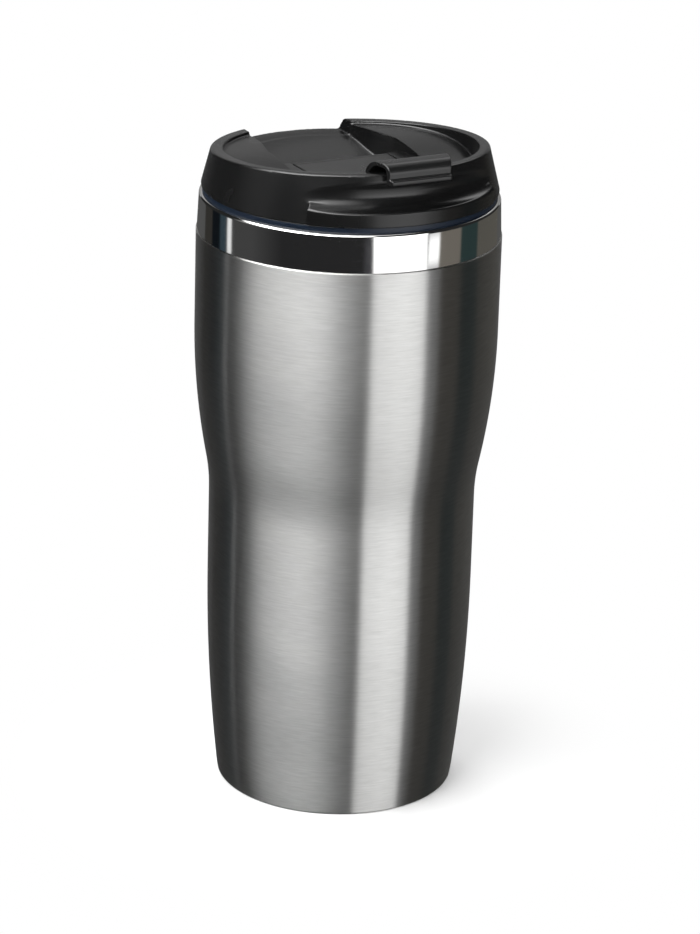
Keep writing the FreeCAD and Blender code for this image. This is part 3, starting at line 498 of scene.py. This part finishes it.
# %% [markdown]
# ## The lid cover
# A moulding like this has walls that run into each other with small rounds everywhere, which patches of
# grid cannot follow without seams.  So it is worked out as a field: one number at each point of a fine
# block of space, its distance from the plastic, below zero inside.  Shapes join and cut by taking the
# smaller or the larger of two fields, and a rounded version of that gives each edge its radius.  The skin
# is where the field is zero.  Its points are found on a grid and then moved on to the exact surface, and
# the field's slope there gives the shading normals, so even a round of 0.3 mm catches a clean highlight.

# %% Fields with rounded joins
def both(first, second, radius):
    """Where two fields overlap, the edge between them rounded: the larger of the two, and near the edge
    the distance from a circle of that radius inside it."""
    corner = np.hypot(np.maximum(first + radius, 0), np.maximum(second + radius, 0))
    return np.minimum(np.maximum(first, second), -radius) + corner


def either(first, second, radius):
    """Two fields joined, with a fillet of that radius between them."""
    return -both(-first, -second, radius)


def cut(field, tool, radius):
    """A field with a tool's field taken away, the new edge rounded."""
    return both(field, -tool, radius)


def slab(z, low, high):
    """The space between two heights, with square edges."""
    return np.maximum(low - z, z - high)


taken_off = float(both(np.zeros(1), np.zeros(1), 0.5)[0])
print("a 0.5 mm round takes", round(taken_off, 3), "mm off a square edge")

# %% [markdown]
# ### From a field to a skin
# Blender's own remesh and boolean tools leave the marks of their grid or cut.  OpenVDB, which comes with
# Blender, turns a block of numbers into faces, and a few steps down the field's slope take each point
# the rest of the way.

# %% The skin of a field
SLOPE_STEP = 0.02                   # the slope is taken over this much each way, in millimetres
MERGE = 0.003                       # how far from flat the skin may be where grid faces are merged
PULL = 0.35                         # share of the way to a large face's middle where it takes its slope


def skin_of(field, low, high, pitch):
    """Points, faces and outward normals of the surface where field(x, y, z) is zero.  The faces come from
    a coarse grid of the field.  Then each point p slides on to the exact surface by p - f(p) n(p), three
    times, where n is the field's slope, made one unit long.  Each face's corners take the slope there; a
    face larger than the grid takes it a third of the way to its middle, so that the round beside a flat
    face doesn't smear across it."""
    axes = [np.arange(a, b + pitch, pitch) for a, b in zip(low, high)]
    values = field(*np.meshgrid(*axes, indexing="ij"))
    grid = openvdb.FloatGrid(float(values.max()))
    grid.copyFromArray(np.ascontiguousarray(values, dtype=np.float32))
    points, triangles, quads = grid.convertToPolygons(isovalue=0.0, adaptivity=MERGE)
    points = points.astype(float) * pitch + np.asarray(low)

    def slope(place):
        steps = SLOPE_STEP * np.eye(3)
        rise = np.stack([field(*(place + step).T) - field(*(place - step).T) for step in steps], axis=-1)
        return rise / np.maximum(np.linalg.norm(rise, axis=1), 1e-9)[:, None]

    for _ in range(3):
        away = np.clip(field(*points.T), -0.3 * pitch, 0.3 * pitch)
        points = points - away[:, None] * slope(points)
    normal = slope(points)
    faces = [f.astype(np.int64) for f in (quads, triangles) if len(f)]
    a, b, c = (points[faces[0][:, k]] for k in range(3))
    if np.sum(np.cross(b - a, c - a) * normal[faces[0][:, 0]]) < 0:
        faces = [f[:, ::-1] for f in faces]
    loops = np.concatenate([f.ravel() for f in faces])
    sizes = np.concatenate([np.full(len(f), f.shape[1]) for f in faces])
    starts = np.append(0, np.cumsum(sizes)[:-1])
    corner = points[loops]
    to_middle = np.repeat(np.add.reduceat(corner, starts) / sizes[:, None], sizes, axis=0) - corner
    reach = np.repeat(np.maximum.reduceat(np.linalg.norm(to_middle, axis=1), starts), sizes)
    large = reach > 0.95 * pitch
    shading = normal[loops]
    shading[large] = slope(corner[large] + PULL * to_middle[large])
    return points, loops, starts, shading


print("a skin's slope is taken over", 2 * SLOPE_STEP, "mm")


# %% [markdown]
# ### The cover's own shapes
# From outside it is a cone under a sloping rim, with a pad under the flap's tab and a scoop for a finger
# at the back.  Inside the rim lie a channel for the flap, a basin behind it that rises and narrows to the
# scoop, a crested cheek on each side, and the two ledges that carry the hinge.  A field over a leaning
# face is multiplied by the cosine of the lean, so that it is the distance square to the face.

# %% The lid cover's field
LID_R, SKIRT_LEAN, SKIRT_COS = 41.05, 0.2548, 0.969
RIM_Z, RIM_FALL, RIM_COS = 185.7, 0.0739, 0.9973
PAD_R, PAD_HALF_ANGLE = 41.4, math.radians(43.2)
SCOOP_Y, SCOOP_Z, SCOOP_RING, SCOOP_TUBE = 14.48, 182.6, 55.0, 4.2
RING_R, RING_TOP = 38.2, 175.0      # the ring that reaches down to the plug
BORE, CHANNEL, BASIN_Y, BASIN_LENGTH, BASIN_RISE = 35.0, 19.6, 12, 28, 4.8
BASIN_DISH, DISH_HALF = 3, 17       # the basin's floor is this much higher at that distance from its middle
FAST_FALL, SLOW_FALL, SLOW_Y, SLOW_HALF, KINK, WALL_LEAN = 0.32, 0.128, 19.5, 17.2, 0.6, 0.05
CREST_Y, CREST_Z, FRONT_ARC, BACK_ARC, CHEEK_COS = 15, 183.15, 110, 170, 0.98
LEDGE_FRONT, LEDGE_BACK, LEDGE_OUT, FLAP_GAP = -8, 8.6, 21, 0.35


def channel_half(y, z):
    """Half the channel's width: 19.6 beside the flap, then two straight walls, the first closing in fast
    and the second slowly, with a soft kink between them, both leaning out a little towards the top."""
    fast = CHANNEL - FAST_FALL * (y - BASIN_Y)
    slow = SLOW_HALF - SLOW_FALL * (y - SLOW_Y)
    kinked = np.maximum(fast, slow) + np.maximum(KINK - np.abs(fast - slow), 0) ** 2 / (4 * KINK)
    return np.minimum(CHANNEL, kinked) + np.where(y > BASIN_Y, WALL_LEAN * (z - 181.5), 0)


def lid_outside(x, y, z):
    """The cover before its inside is cut away: a cone met by the sloping rim, joined to the ring that
    holds the plug and to the pad, a wedge of a cylinder; the scoop is part of a thick ring."""
    side, reach = np.abs(x), np.hypot(x, y)
    skirt = (reach - (LID_R - SKIRT_LEAN * (z - LID_BASE))) * SKIRT_COS
    rim_plane = (z - (RIM_Z - RIM_FALL * y)) * RIM_COS
    lid = both(both(skirt, rim_plane, 0.65), LID_BASE - z, 0.4)
    lid = np.minimum(lid, np.maximum(reach - RING_R, slab(z, PLUG_TOP, RING_TOP)))
    wedge = side * math.cos(PAD_HALF_ANGLE) + y * math.sin(PAD_HALF_ANGLE)
    pad = both(both(reach - PAD_R, z - PLATE_TOP, 0.3), both(wedge, LID_BASE - z, 0.1), 0.25)
    scoop = np.hypot(np.hypot(x, y - SCOOP_Y) - SCOOP_RING, z - SCOOP_Z) - SCOOP_TUBE
    return cut(either(lid, pad, 0.2), scoop, 0.6)


def fall(distance, arc):
    """How far an arc has fallen at a distance from its top, level on the far side of it."""
    return arc - np.sqrt(arc ** 2 - np.clip(distance, 0, 60) ** 2)


def lid_ground(side, y, z, half_channel):
    """What stands inside the rim: the floor, which rises along an S and is dished from side to side, the
    cheeks with their crest, and the two ledges."""
    along = np.clip((y - BASIN_Y) / BASIN_LENGTH, 0, 1)
    along = along ** 2 * (3 - 2 * along)
    floor = z - (FLOOR + BASIN_RISE * along + BASIN_DISH * along * (1 - along) * (side / DISH_HALF) ** 2)
    crest = CREST_Z - fall(CREST_Y - y, FRONT_ARC) - fall(y - CREST_Y, BACK_ARC)
    cheek = both((half_channel - side) * CHEEK_COS, (z - crest) * CHEEK_COS, 0.22)
    across = both(HALF_FLAP + FLAP_GAP - side, side - LEDGE_OUT, 0.2)
    ledge = both(across, both(y - LEDGE_BACK, z - PLATE_TOP, 1.6), 0.2)
    ledge = both(ledge, LEDGE_FRONT - y, 0.2)
    return either(either(floor, cheek, 0.8), ledge, 0.3)


def lid_field(x, y, z):
    """Distance from the lid cover's plastic: its outside, with the space above the ground inside the rim
    cut away, then the way out to the scoop, the drinking hole and the vent.  The way out's edge has a
    small round at its foot, which grows to 0.7 mm higher up."""
    side, reach = np.abs(x), np.hypot(x, y)
    half_channel = channel_half(y, z)
    above = -lid_ground(side, y, z, half_channel)
    lid = cut(lid_outside(x, y, z), both(reach - BORE, above, 0.6), 0.35)
    way_out = np.maximum((side - half_channel) * CHEEK_COS, CREST_Y - y)
    lid = cut(lid, both(way_out, above, 0.35), 0.3 + 0.4 * np.clip((z - 180.9) / 0.8, 0, 1))
    drink_hole = np.hypot(np.maximum(side - DRINK_HALF, 0), y - DRINK_Y) - DRINK_R
    vent = np.hypot(x, y - VENT_Y) - VENT_R
    return cut(cut(lid, drink_hole, 0.4), vent, 0.3)


points, loops, starts, normals = skin_of(lid_field, (-42.4, -42.8, 172.2), (42.4, 42.4, 189.6), 0.3)
put_mesh("lid_top", points, loops, starts, "lid", LID_PLASTIC, ["lid_cover"],
         normals=normals)


# %% [markdown]
# ## The flap
# One bent strip of plastic: a plate over the channel, a riser, a hook over the rim and the tab for a
# finger.  An extruded outline with bevelled edges would come close, but its barrel, sockets and ribs run
# into it with fillets, so it is a field as well.  Its side view is a rounded outline; the field is the
# distance from that outline, met by the two sides, which come closer together towards the tab.

# %% The flap's field
PLATE_BASE, BARREL_R = 178.2, 2.4
RISER, RISER_WALL, HOOK_IN, HOOK, TAB = 32.5, 1.3, 39.0, 40.2, 41.5     # how far to the front each lies
HOOK_BASE, TAB_TOP, BRIDGE_BASE, BRIDGE_TOP = 186.0, 187.4, 190.3, 191.5
TAPER_Y, TAPER, FLAP_COS = 22.8, 0.3, 0.96
SOCKET_BASE, RIB_BASE, UNDER_TOP = 176.9, 177.3, 178.6
STOPPER_RING, VENT_RING = (6.8, 0.55), (2.9, 0.5)       # each socket wall's middle and half thickness
RIB_YS, RIB_HALF, RIB_REACH = (-13.5, -2.0), 0.5, 12.0


def outline_field(across, up, line):
    """Distance of each point of a plane from a closed outline, below zero inside.  For each side of the
    outline the nearest point is found by projection, and crossings to the right tell inside from out."""
    nearest = np.full(across.shape, np.inf)
    inside_now = np.zeros(across.shape, dtype=bool)
    for start, end in zip(line, np.roll(line, -1, axis=0)):
        way = end - start
        length = max(float(way @ way), 1e-12)
        share = np.clip(((across - start[0]) * way[0] + (up - start[1]) * way[1]) / length, 0, 1)
        gap = np.hypot(across - start[0] - share * way[0], up - start[1] - share * way[1])
        nearest = np.minimum(nearest, gap)
        spans = (start[1] > up) != (end[1] > up)
        rise = way[1] if abs(way[1]) > 1e-12 else 1e-12
        crossing = start[0] + (up - start[1]) / rise * way[0]
        inside_now ^= spans & (across < crossing)
    return np.where(inside_now, -nearest, nearest)


flap_outline = rounded_line([
    (HINGE_Y, PLATE_BASE), (-RISER, PLATE_BASE, 1.5), (-RISER, BRIDGE_BASE, 3.1),
    (-HOOK_IN, BRIDGE_BASE, 1.5), (-HOOK_IN, HOOK_BASE, 0.3), (-TAB, HOOK_BASE, 0.45),
    (-TAB, TAB_TOP, 0.45), (-HOOK, TAB_TOP, 0.5), (-HOOK, BRIDGE_TOP, 2.7),
    (RISER_WALL - RISER, BRIDGE_TOP, 4.3), (RISER_WALL - RISER, PLATE_TOP, 1.0), (HINGE_Y, PLATE_TOP),
])


def socket_wall(distance, z, middle, half_wall):
    """A low wall under the plate that goes round a hole, at one distance from the hole's middle line."""
    return both(np.abs(distance - middle) - half_wall, slab(z, SOCKET_BASE, UNDER_TOP), 0.15)


def flap_field(x, y, z):
    """Distance from the flap: the strip's outline met by its two sides, the hinge barrel, the sockets
    for the stopper and the vent button, and two low ribs under the plate."""
    side = np.abs(x)
    if x.ndim == 3:     # on the grid, every slice across the flap has the same outline
        strip = np.broadcast_to(outline_field(y[:1], z[:1], flap_outline), x.shape)
    else:
        strip = outline_field(y, z, flap_outline)
    barrel = np.hypot(y - HINGE_Y, z - HINGE_Z) - BARREL_R
    strip = either(strip, barrel, 0.4)
    half_width = HALF_FLAP - np.maximum(-y - TAPER_Y, 0) * TAPER
    flap = both(strip, (side - half_width) * FLAP_COS, 0.3)
    around_drink = np.hypot(np.maximum(side - DRINK_HALF, 0), y - DRINK_Y)
    socket = socket_wall(around_drink, z, *STOPPER_RING)
    around_vent = np.hypot(x, y - VENT_Y)
    vent_socket = socket_wall(around_vent, z, *VENT_RING)
    rib_y = np.minimum(np.abs(y - RIB_YS[0]), np.abs(y - RIB_YS[1]))
    ribs = np.maximum(np.maximum(rib_y - RIB_HALF, side - RIB_REACH), slab(z, RIB_BASE, UNDER_TOP))
    return either(flap, np.minimum(np.minimum(socket, vent_socket), ribs), 0.25)


points, loops, starts, normals = skin_of(flap_field, (-16.5, -42.9, 174.6), (16.5, 9.9, 192.6), 0.27)
put_mesh("flap_strip", points, loops, starts, "flap_unit", FLAP_PLASTIC, ["flap"],
         normals=normals)

# %% [markdown]
# ## The threaded plug
# Under the cover a short cup screws into the mouth.  It is turned like the steel, and its three-start
# thread is the same low wave as the cup's, standing out this time.  It shows only as the lid rises.

# %% The threaded plug
PLUG_R, PLUG_IN, PLUG_BASE, PLUG_FLOOR = 37.6, 35.8, 160.2, 162.0
plug_profile = rounded_line([
    (PINHOLE, PLUG_BASE), (PLUG_R, PLUG_BASE, 0.8), *wall_rows(PLUG_R, PLUG_BASE + 1, PLUG_TOP - 0.2),
    (PLUG_R, PLUG_TOP), (PLUG_IN, PLUG_TOP), (PLUG_IN, PLUG_FLOOR, 0.6), (PINHOLE, PLUG_FLOOR),
], closed=False)
points, loops, starts, uv = turn(plug_profile, closed=False)
add_thread(points, PLUG_R, 161.5, 170.5, THREAD_DEPTH, lift=1.5)
put_mesh("plug_cup", points, loops, starts, "lid", PLUG_PLASTIC, ["lid_plug"], uv)

# %% [markdown]
# ## Small pieces kept from the CAD
# The base plate, the stopper, the vent button and the hinge pin already have their true shape in the
# solids, so they only get their finish.

# %% Finish the small CAD pieces
for node, material in (("base_plate", BASE_STEEL), ("flap_stopper", STOPPER_SILICONE),
                       ("vent_button", STOPPER_SILICONE), ("hinge_pin", PIN_STEEL)):
    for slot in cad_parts[node].material_slots:
        slot.material = material
    print(node, "gets", material.name)

# %% [markdown]
# ## Camera
# The photograph looks down on the mug by about 20 degrees, from a metre away, a little to the left of
# its drinking side, and is turned by a degree or two.  So narrow a view needs a long lens, given here by
# its focal length in pixels of the picture.

# %% Camera
AZIMUTH, ELEVATION, ROLL = math.radians(-27.5), math.radians(20.21), math.radians(1.71)
DISTANCE, SHIFT_X, SHIFT_Z = 1.0904, 0.00222, 0.0865
FOCAL_PIXELS, PICTURE_HEIGHT, SENSOR_HEIGHT = 3756, 934, 36.0
level_back = math.cos(ELEVATION)
back = Vector((math.sin(AZIMUTH) * level_back, -math.cos(AZIMUTH) * level_back, math.sin(ELEVATION)))
right = Vector((math.cos(AZIMUTH), math.sin(AZIMUTH), 0))
upward = back.cross(right)
rolled_right = right * math.cos(ROLL) + upward * math.sin(ROLL)
rolled_up = -right * math.sin(ROLL) + upward * math.cos(ROLL)
place = back * DISTANCE + right * SHIFT_X + upward * SHIFT_Z
lens = bpy.data.cameras.new("camera")
lens.sensor_fit = "VERTICAL"
lens.sensor_height = SENSOR_HEIGHT
lens.lens = SENSOR_HEIGHT * FOCAL_PIXELS / PICTURE_HEIGHT
lens.clip_start, lens.clip_end = 0.05, 50
camera = bpy.data.objects.new("camera", lens)
camera.matrix_world = Matrix((
    (rolled_right.x, rolled_up.x, back.x, place.x),
    (rolled_right.y, rolled_up.y, back.y, place.y),
    (rolled_right.z, rolled_up.z, back.z, place.z),
    (0, 0, 0, 1),
))
bpy.context.scene.collection.objects.link(camera)
bpy.context.scene.camera = camera
print("camera at", tuple(round(value, 4) for value in place))

# %% [markdown]
# ## Studio
# Polished metal is a picture of its room, so the room matters as much as the steel.  Here it is a tent of
# dark cloth with a broad soft box high on the left, a tall one low on the right, paler cloth behind, and
# there a low slot where the white background shows.  Many lamps and cards could build it; instead it is
# one curved sheet whose brightness is worked out for each direction, and only reflections see it.

# %% Directions in the tent
FACING = math.degrees(AZIMUTH) - 90


def toward(turned_right, distance, height):
    """A place at that many degrees to the right of the camera's direction, as seen from the mug."""
    angle = np.radians(FACING + turned_right)
    place = np.broadcast_arrays(np.cos(angle) * distance, np.sin(angle) * distance, height)
    return np.stack(place, axis=-1)


def soft_step(value, edge, width):
    """0 below an edge and 1 above it, with a smooth rise of that width between."""
    share = np.clip((value - edge) / width + 0.5, 0, 1)
    return share * share * (3 - 2 * share)


def band(value, low, high, width):
    """1 between two edges and 0 outside, with soft edges."""
    return soft_step(value, low, width) * soft_step(-value, -high, width)


def facing(turned, height):
    """Which way an upright wall faces to reflect a direction of the tent into the camera: the azimuth of
    the sum of two unit vectors, one to the camera, 20 degrees up, and one to that place of the tent."""
    level, around = np.radians(height), np.radians(turned)
    ahead = math.cos(math.radians(20.2)) + np.cos(level) * np.cos(around)
    return np.degrees(np.arctan2(np.cos(level) * np.sin(around), ahead))


print("what lies 60 degrees to the right shows in a wall that faces", round(float(facing(60, 0)), 1))

# %% [markdown]
# ### The cloths
# The collar is upright, and the camera looks down on it, so it shows a low row of the tent: a row of
# cloths of different tones, which makes its dark and pale bars.  The shell spreads what it sees up and
# down, so below and above that row the cloth can be plain.

# %% The cloths
CLOTHS = (      # where each starts, in degrees to the right of the camera, and its red, green and blue
    (-180, (0.09, 0.09, 0.09)), (-138, (0.036, 0.034, 0.031)), (-124, (0.006, 0.008, 0.0105)),
    (-112, (0.035, 0.054, 0.068)), (-104, (0.05, 0.055, 0.06)), (-97, (0.023, 0.023, 0.024)),
    (12, (0.05, 0.05, 0.055)), (70.5, (0.17, 0.155, 0.135)), (92, (0.025, 0.043, 0.043)),
    (112, (0.1, 0.095, 0.083)), (150, (0.09, 0.09, 0.09)),
)
WIDE_START, WIDE_END = -97, 12      # the widest cloth, which is paler at its left end
ROW_LOW, ROW_HIGH = -19, -4
PLAIN_AT = (-150, -125, -113, -104, 20, 70, 100, 130, 150)
PLAIN_TONE = (0.08, 0.065, 0.05, 0.015, 0.022, 0.045, 0.045, 0.06, 0.09)
PLAIN_ABOVE = 0.022


def cloth_light(turned, height):
    """The row of cloths between its two heights, and elsewhere plain cloth: below it a grey that changes
    from side to side, above it one dark grey."""
    row = np.zeros(turned.shape + (3,))
    ends = [start for start, _ in CLOTHS[1:]] + [180]
    for (start, tone), end in zip(CLOTHS, ends):
        row += band(turned, start, end, 1.5)[..., None] * np.array(tone)
    paler = np.interp(turned, [-76, -50], [0.038, 0])
    row += (band(turned, WIDE_START, WIDE_END, 1.5) * paler)[..., None]
    in_row = band(height, ROW_LOW, ROW_HIGH, 3)[..., None]
    plain = np.where(height < -5, np.interp(turned, PLAIN_AT, PLAIN_TONE), PLAIN_ABOVE)[..., None]
    return row * in_row + plain * (1 - in_row)


print(len(CLOTHS), "cloths in the low row, from", ROW_LOW, "to", ROW_HIGH, "degrees")

# %% [markdown]
# ### The soft boxes
# Each soft box is given by the facing of the wall that reflects it, so its edges run upright down the
# mug.  The left one rises fast from its left edge and fades slowly to the right, as a lamp behind a sheet
# does.  The right one has crisp edges and fades downwards.

# %% The soft boxes
LEFT_BOX, RIGHT_BOX = 12.6, 2.65    # brightness at their brightest
LEFT_RISE_AT = (-44.5, -42.5, -40, -37.5, -34, -30.3, -26.2, -22.6, -16)
LEFT_RISE = (0, 0.12, 0.36, 0.53, 0.69, 0.80, 0.89, 0.945, 1)
LEFT_FADE_AT = (-13, -9.9, -6.8, -3.8, -0.8, 2.3, 5.3, 8, 11)
LEFT_FADE = (0.99, 0.91, 0.81, 0.65, 0.48, 0.37, 0.27, 0.18, 0)
RIGHT_FADE_AT, RIGHT_FADE = (-70, -45, -25, -10, 5, 14), (0.06, 0.22, 0.45, 0.6, 1.0, 0.96)


def box_light(turned, height):
    """The left box, from 29 to 60 degrees up, and the right one, from far below to 15 degrees up."""
    faces, in_front = facing(turned, height), np.abs(turned) < 135
    left = np.interp(faces, LEFT_RISE_AT + LEFT_FADE_AT, LEFT_RISE + LEFT_FADE)
    left = LEFT_BOX * left * band(height, 29, 60, 8)
    right = band(faces, 9.5, 31.0, 1.0) * (1 + 0.15 * np.exp(-((faces - 21) / 7) ** 2))
    right = RIGHT_BOX * right * np.interp(height, RIGHT_FADE_AT, RIGHT_FADE) * band(height, -72, 15, 6)
    return (left + right) * in_front


print("left box", LEFT_BOX, "and right box", RIGHT_BOX, "times white")

# %% [markdown]
# ### The small lights
# What is left are the lights that the black lid shows, and two slim strips beside the collar: a thread of
# light at its left and its pale bar at the right.

# %% The small lights
BACK_EDGE = 150                     # past this many degrees to either side lies the back of the tent
BACK_AT, BACK_LIGHT = (8, 11, 17, 28, 35, 42), (0.26, 0.26, 0.38, 0.38, 0.33, 0.72)


def small_lights(turned, height):
    """Strips for the collar, a high light on the left and a glow under it for the lid's side, the back of
    the tent, which is dimmer on its right half, a round glow at its edge, and a pale ceiling."""
    collar_thread = 0.9 * band(turned, -102.5, -97.5, 2) * band(height, -15, -7, 2)
    collar_bar = 1.4 * band(turned, 61.5, 71, 1.5) * band(height, -14, -6, 2)
    high_left = 0.9 * band(turned, -150, -60, 8) * soft_step(height, 50, 6)
    side_glow = 0.35 * band(turned, -92, -60, 14) * band(height, 4, 22, 8)
    dimmer = np.where(height < 38, np.interp(turned % 360, [172, 183], [0.66, 1.0]), 1.0)
    behind = np.interp(height, BACK_AT, BACK_LIGHT) * dimmer
    behind = behind * soft_step(np.abs(turned), BACK_EDGE, 4) * soft_step(height, 5, 2)
    round_glow = 2.8 * np.exp(-((turned - 150) / 12) ** 2 - ((height - 46) / 14) ** 2)
    ceiling = 1.1 * soft_step(height, 64, 4)
    return collar_thread + collar_bar + high_left + side_glow + behind + round_glow + ceiling


print("the back of the tent starts", BACK_EDGE, "degrees from the camera's direction")


# %% [markdown]
# ### The sheet
# The tent could be a picture on the world, but that would light the mug as well.  A ball of faces round
# the mug can be hidden from every ray but a reflection, and a colour attribute holds its light, one
# colour for each point of a grid of directions.

# %% The tent that the metal reflects
TENT_R, TENT_MIDDLE = 1.7, 0.1      # in metres
turned, height = np.meshgrid(np.arange(-180, 180.5, 1.0), np.arange(-84, 85, 2.0), indexing="ij")
level = np.radians(height)
points = toward(turned, TENT_R * np.cos(level), TENT_R * np.sin(level) + TENT_MIDDLE)
rows, columns = turned.shape
i, j = np.meshgrid(np.arange(rows - 1), np.arange(columns - 1), indexing="ij")
corner = (i * columns + j).ravel()
quads = np.stack([corner, corner + columns, corner + columns + 1, corner + 1], axis=-1)
slot_behind = (np.abs(turned) > BACK_EDGE) & (height > -2) & (height < 6)
quads = quads[~slot_behind.ravel()[quads].any(axis=1)]
tent_mesh = bpy.data.meshes.new("tent")
tent_mesh.from_pydata(points.reshape(-1, 3), [], quads)
paint = tent_mesh.color_attributes.new("light", "FLOAT_COLOR", "POINT")
grey_light = box_light(turned, height) + small_lights(turned, height)
light = (cloth_light(turned, height) + grey_light[..., None]).reshape(-1, 3)
paint.data.foreach_set("color", np.column_stack([light, np.ones(len(light))]).astype(np.float32).ravel())
tent = bpy.data.objects.new("tent", tent_mesh)
bpy.context.scene.collection.objects.link(tent)
for seen_by in ("camera", "diffuse", "transmission", "volume_scatter", "shadow"):
    setattr(tent, "visible_" + seen_by, False)
print("tent of", len(quads), "panels, brightest", round(float(light.max()), 2))


# %% Its cloth glows by the painted light
def bare_tree(data):
    """The node tree of a material or world, emptied."""
    data.use_nodes = True
    data.node_tree.nodes.clear()
    return data.node_tree


def link_all(tree, pairs):
    """Link each source to its target."""
    for source, target in pairs:
        tree.links.new(source, target)


tent_material = bpy.data.materials.new("tent_cloth")
tree = bare_tree(tent_material)
tent_material.cycles.emission_sampling = "NONE"
painted = tree.nodes.new("ShaderNodeAttribute")
painted.attribute_name = "light"
shine = tree.nodes.new("ShaderNodeEmission")
out = tree.nodes.new("ShaderNodeOutputMaterial")
link_all(tree, ((painted.outputs["Color"], shine.inputs["Color"]), (shine.outputs[0], out.inputs[0])))
tent_mesh.materials.append(tent_material)
print("tent glows by its attribute", painted.attribute_name)

# %% [markdown]
# ### Lamps
# Three plain lamps give the even light on everything that isn't a mirror.  Reflections don't see them,
# because the tent already has its own soft boxes.

# %% Lamps
def soft_box(name, turned_right, distance, height, width, tall, power):
    """A rectangular lamp that looks at the middle of the mug."""
    lamp = bpy.data.lights.new(name, "AREA")
    lamp.shape = "RECTANGLE"
    lamp.size, lamp.size_y = width, tall
    lamp.energy = power
    box = bpy.data.objects.new(name, lamp)
    place = Vector(toward(turned_right, distance, height))
    way = (Vector((0, 0, 0.1)) - place).normalized()
    box.matrix_world = way.to_track_quat("-Z", "Y").to_matrix().to_4x4()
    box.matrix_world.translation = place
    box.visible_camera = False
    box.visible_glossy = False
    bpy.context.scene.collection.objects.link(box)
    print(name, "of", power, "watts at", tuple(round(value, 2) for value in place))


soft_box("left_box", -50, 1.1, 0.9, 1.4, 0.9, 22)
soft_box("right_box", 45, 1.2, 0.45, 0.9, 1.4, 12)
soft_box("back_box", 180, 1.0, 1.1, 1.4, 0.8, 14)

# %% [markdown]
# ### Floor
# Pale paper near the mug takes its soft shadow.  A real sheet would turn grey further off, so it fades
# into plain white with the distance from the mug, for the camera alone.

# %% Floor
FADE_FROM, FADE_TO = 0.036, 0.095   # distances from the mug's axis, in metres
half = 3                            # half the floor's width, in metres
floor_corners = [(-half, -half, 0), (half, -half, 0), (half, half, 0), (-half, half, 0)]
floor_mesh = bpy.data.meshes.new("floor")
floor_mesh.from_pydata(floor_corners, [], [(0, 1, 2, 3)])
floor_piece = bpy.data.objects.new("floor", floor_mesh)
floor_piece.visible_glossy = False
bpy.context.scene.collection.objects.link(floor_piece)
floor_material = bpy.data.materials.new("pale_floor")
tree = bare_tree(floor_material)
paper = tree.nodes.new("ShaderNodeBsdfDiffuse")
paper.inputs["Color"].default_value = (0.9, 0.9, 0.9, 1)
white = tree.nodes.new("ShaderNodeEmission")
spot = tree.nodes.new("ShaderNodeTexCoord")
length = tree.nodes.new("ShaderNodeVectorMath")
length.operation = "LENGTH"
fade = tree.nodes.new("ShaderNodeMapRange")
fade.interpolation_type = "SMOOTHSTEP"
fade.inputs["From Min"].default_value = FADE_FROM
fade.inputs["From Max"].default_value = FADE_TO
rays = tree.nodes.new("ShaderNodeLightPath")
far_and_seen = tree.nodes.new("ShaderNodeMath")
far_and_seen.operation = "MULTIPLY"
mixed = tree.nodes.new("ShaderNodeMixShader")
out = tree.nodes.new("ShaderNodeOutputMaterial")
link_all(tree, (
    (spot.outputs["Object"], length.inputs[0]),
    (length.outputs["Value"], fade.inputs["Value"]),
    (fade.outputs["Result"], far_and_seen.inputs[0]),
    (rays.outputs["Is Camera Ray"], far_and_seen.inputs[1]),
    (far_and_seen.outputs[0], mixed.inputs["Fac"]),
    (paper.outputs[0], mixed.inputs[1]),
    (white.outputs[0], mixed.inputs[2]),
    (mixed.outputs[0], out.inputs[0]),
))
floor_mesh.materials.append(floor_material)
print("floor fades to white from", FADE_FROM, "to", FADE_TO, "m")

# %% [markdown]
# ### World
# The world is white where the camera looks at it, a softer white where metal reflects it through the
# slot in the tent, and a dim even grey where it lights.

# %% World
world = bpy.data.worlds.new("studio")
bpy.context.scene.world = world
tree = bare_tree(world)
rays = tree.nodes.new("ShaderNodeLightPath")
shiny = tree.nodes.new("ShaderNodeMath")
shiny.operation = "MAXIMUM"
out = tree.nodes.new("ShaderNodeOutputWorld")
dim, soft, white = [tree.nodes.new("ShaderNodeBackground") for _ in range(3)]
for sheet, strength in ((dim, 0.25), (soft, 0.42), (white, 1.0)):
    sheet.inputs["Color"].default_value = (1, 1, 1, 1)
    sheet.inputs["Strength"].default_value = strength
    print("world sheet of strength", strength)
reflected, seen = [tree.nodes.new("ShaderNodeMixShader") for _ in range(2)]
link_all(tree, (
    (rays.outputs["Is Glossy Ray"], shiny.inputs[0]),
    (rays.outputs["Is Transmission Ray"], shiny.inputs[1]),
    (shiny.outputs[0], reflected.inputs["Fac"]),
    (dim.outputs[0], reflected.inputs[1]),
    (soft.outputs[0], reflected.inputs[2]),
    (rays.outputs["Is Camera Ray"], seen.inputs["Fac"]),
    (reflected.outputs[0], seen.inputs[1]),
    (white.outputs[0], seen.inputs[2]),
    (seen.outputs[0], out.inputs[0]),
))
bpy.context.scene.view_settings.view_transform = "Standard"
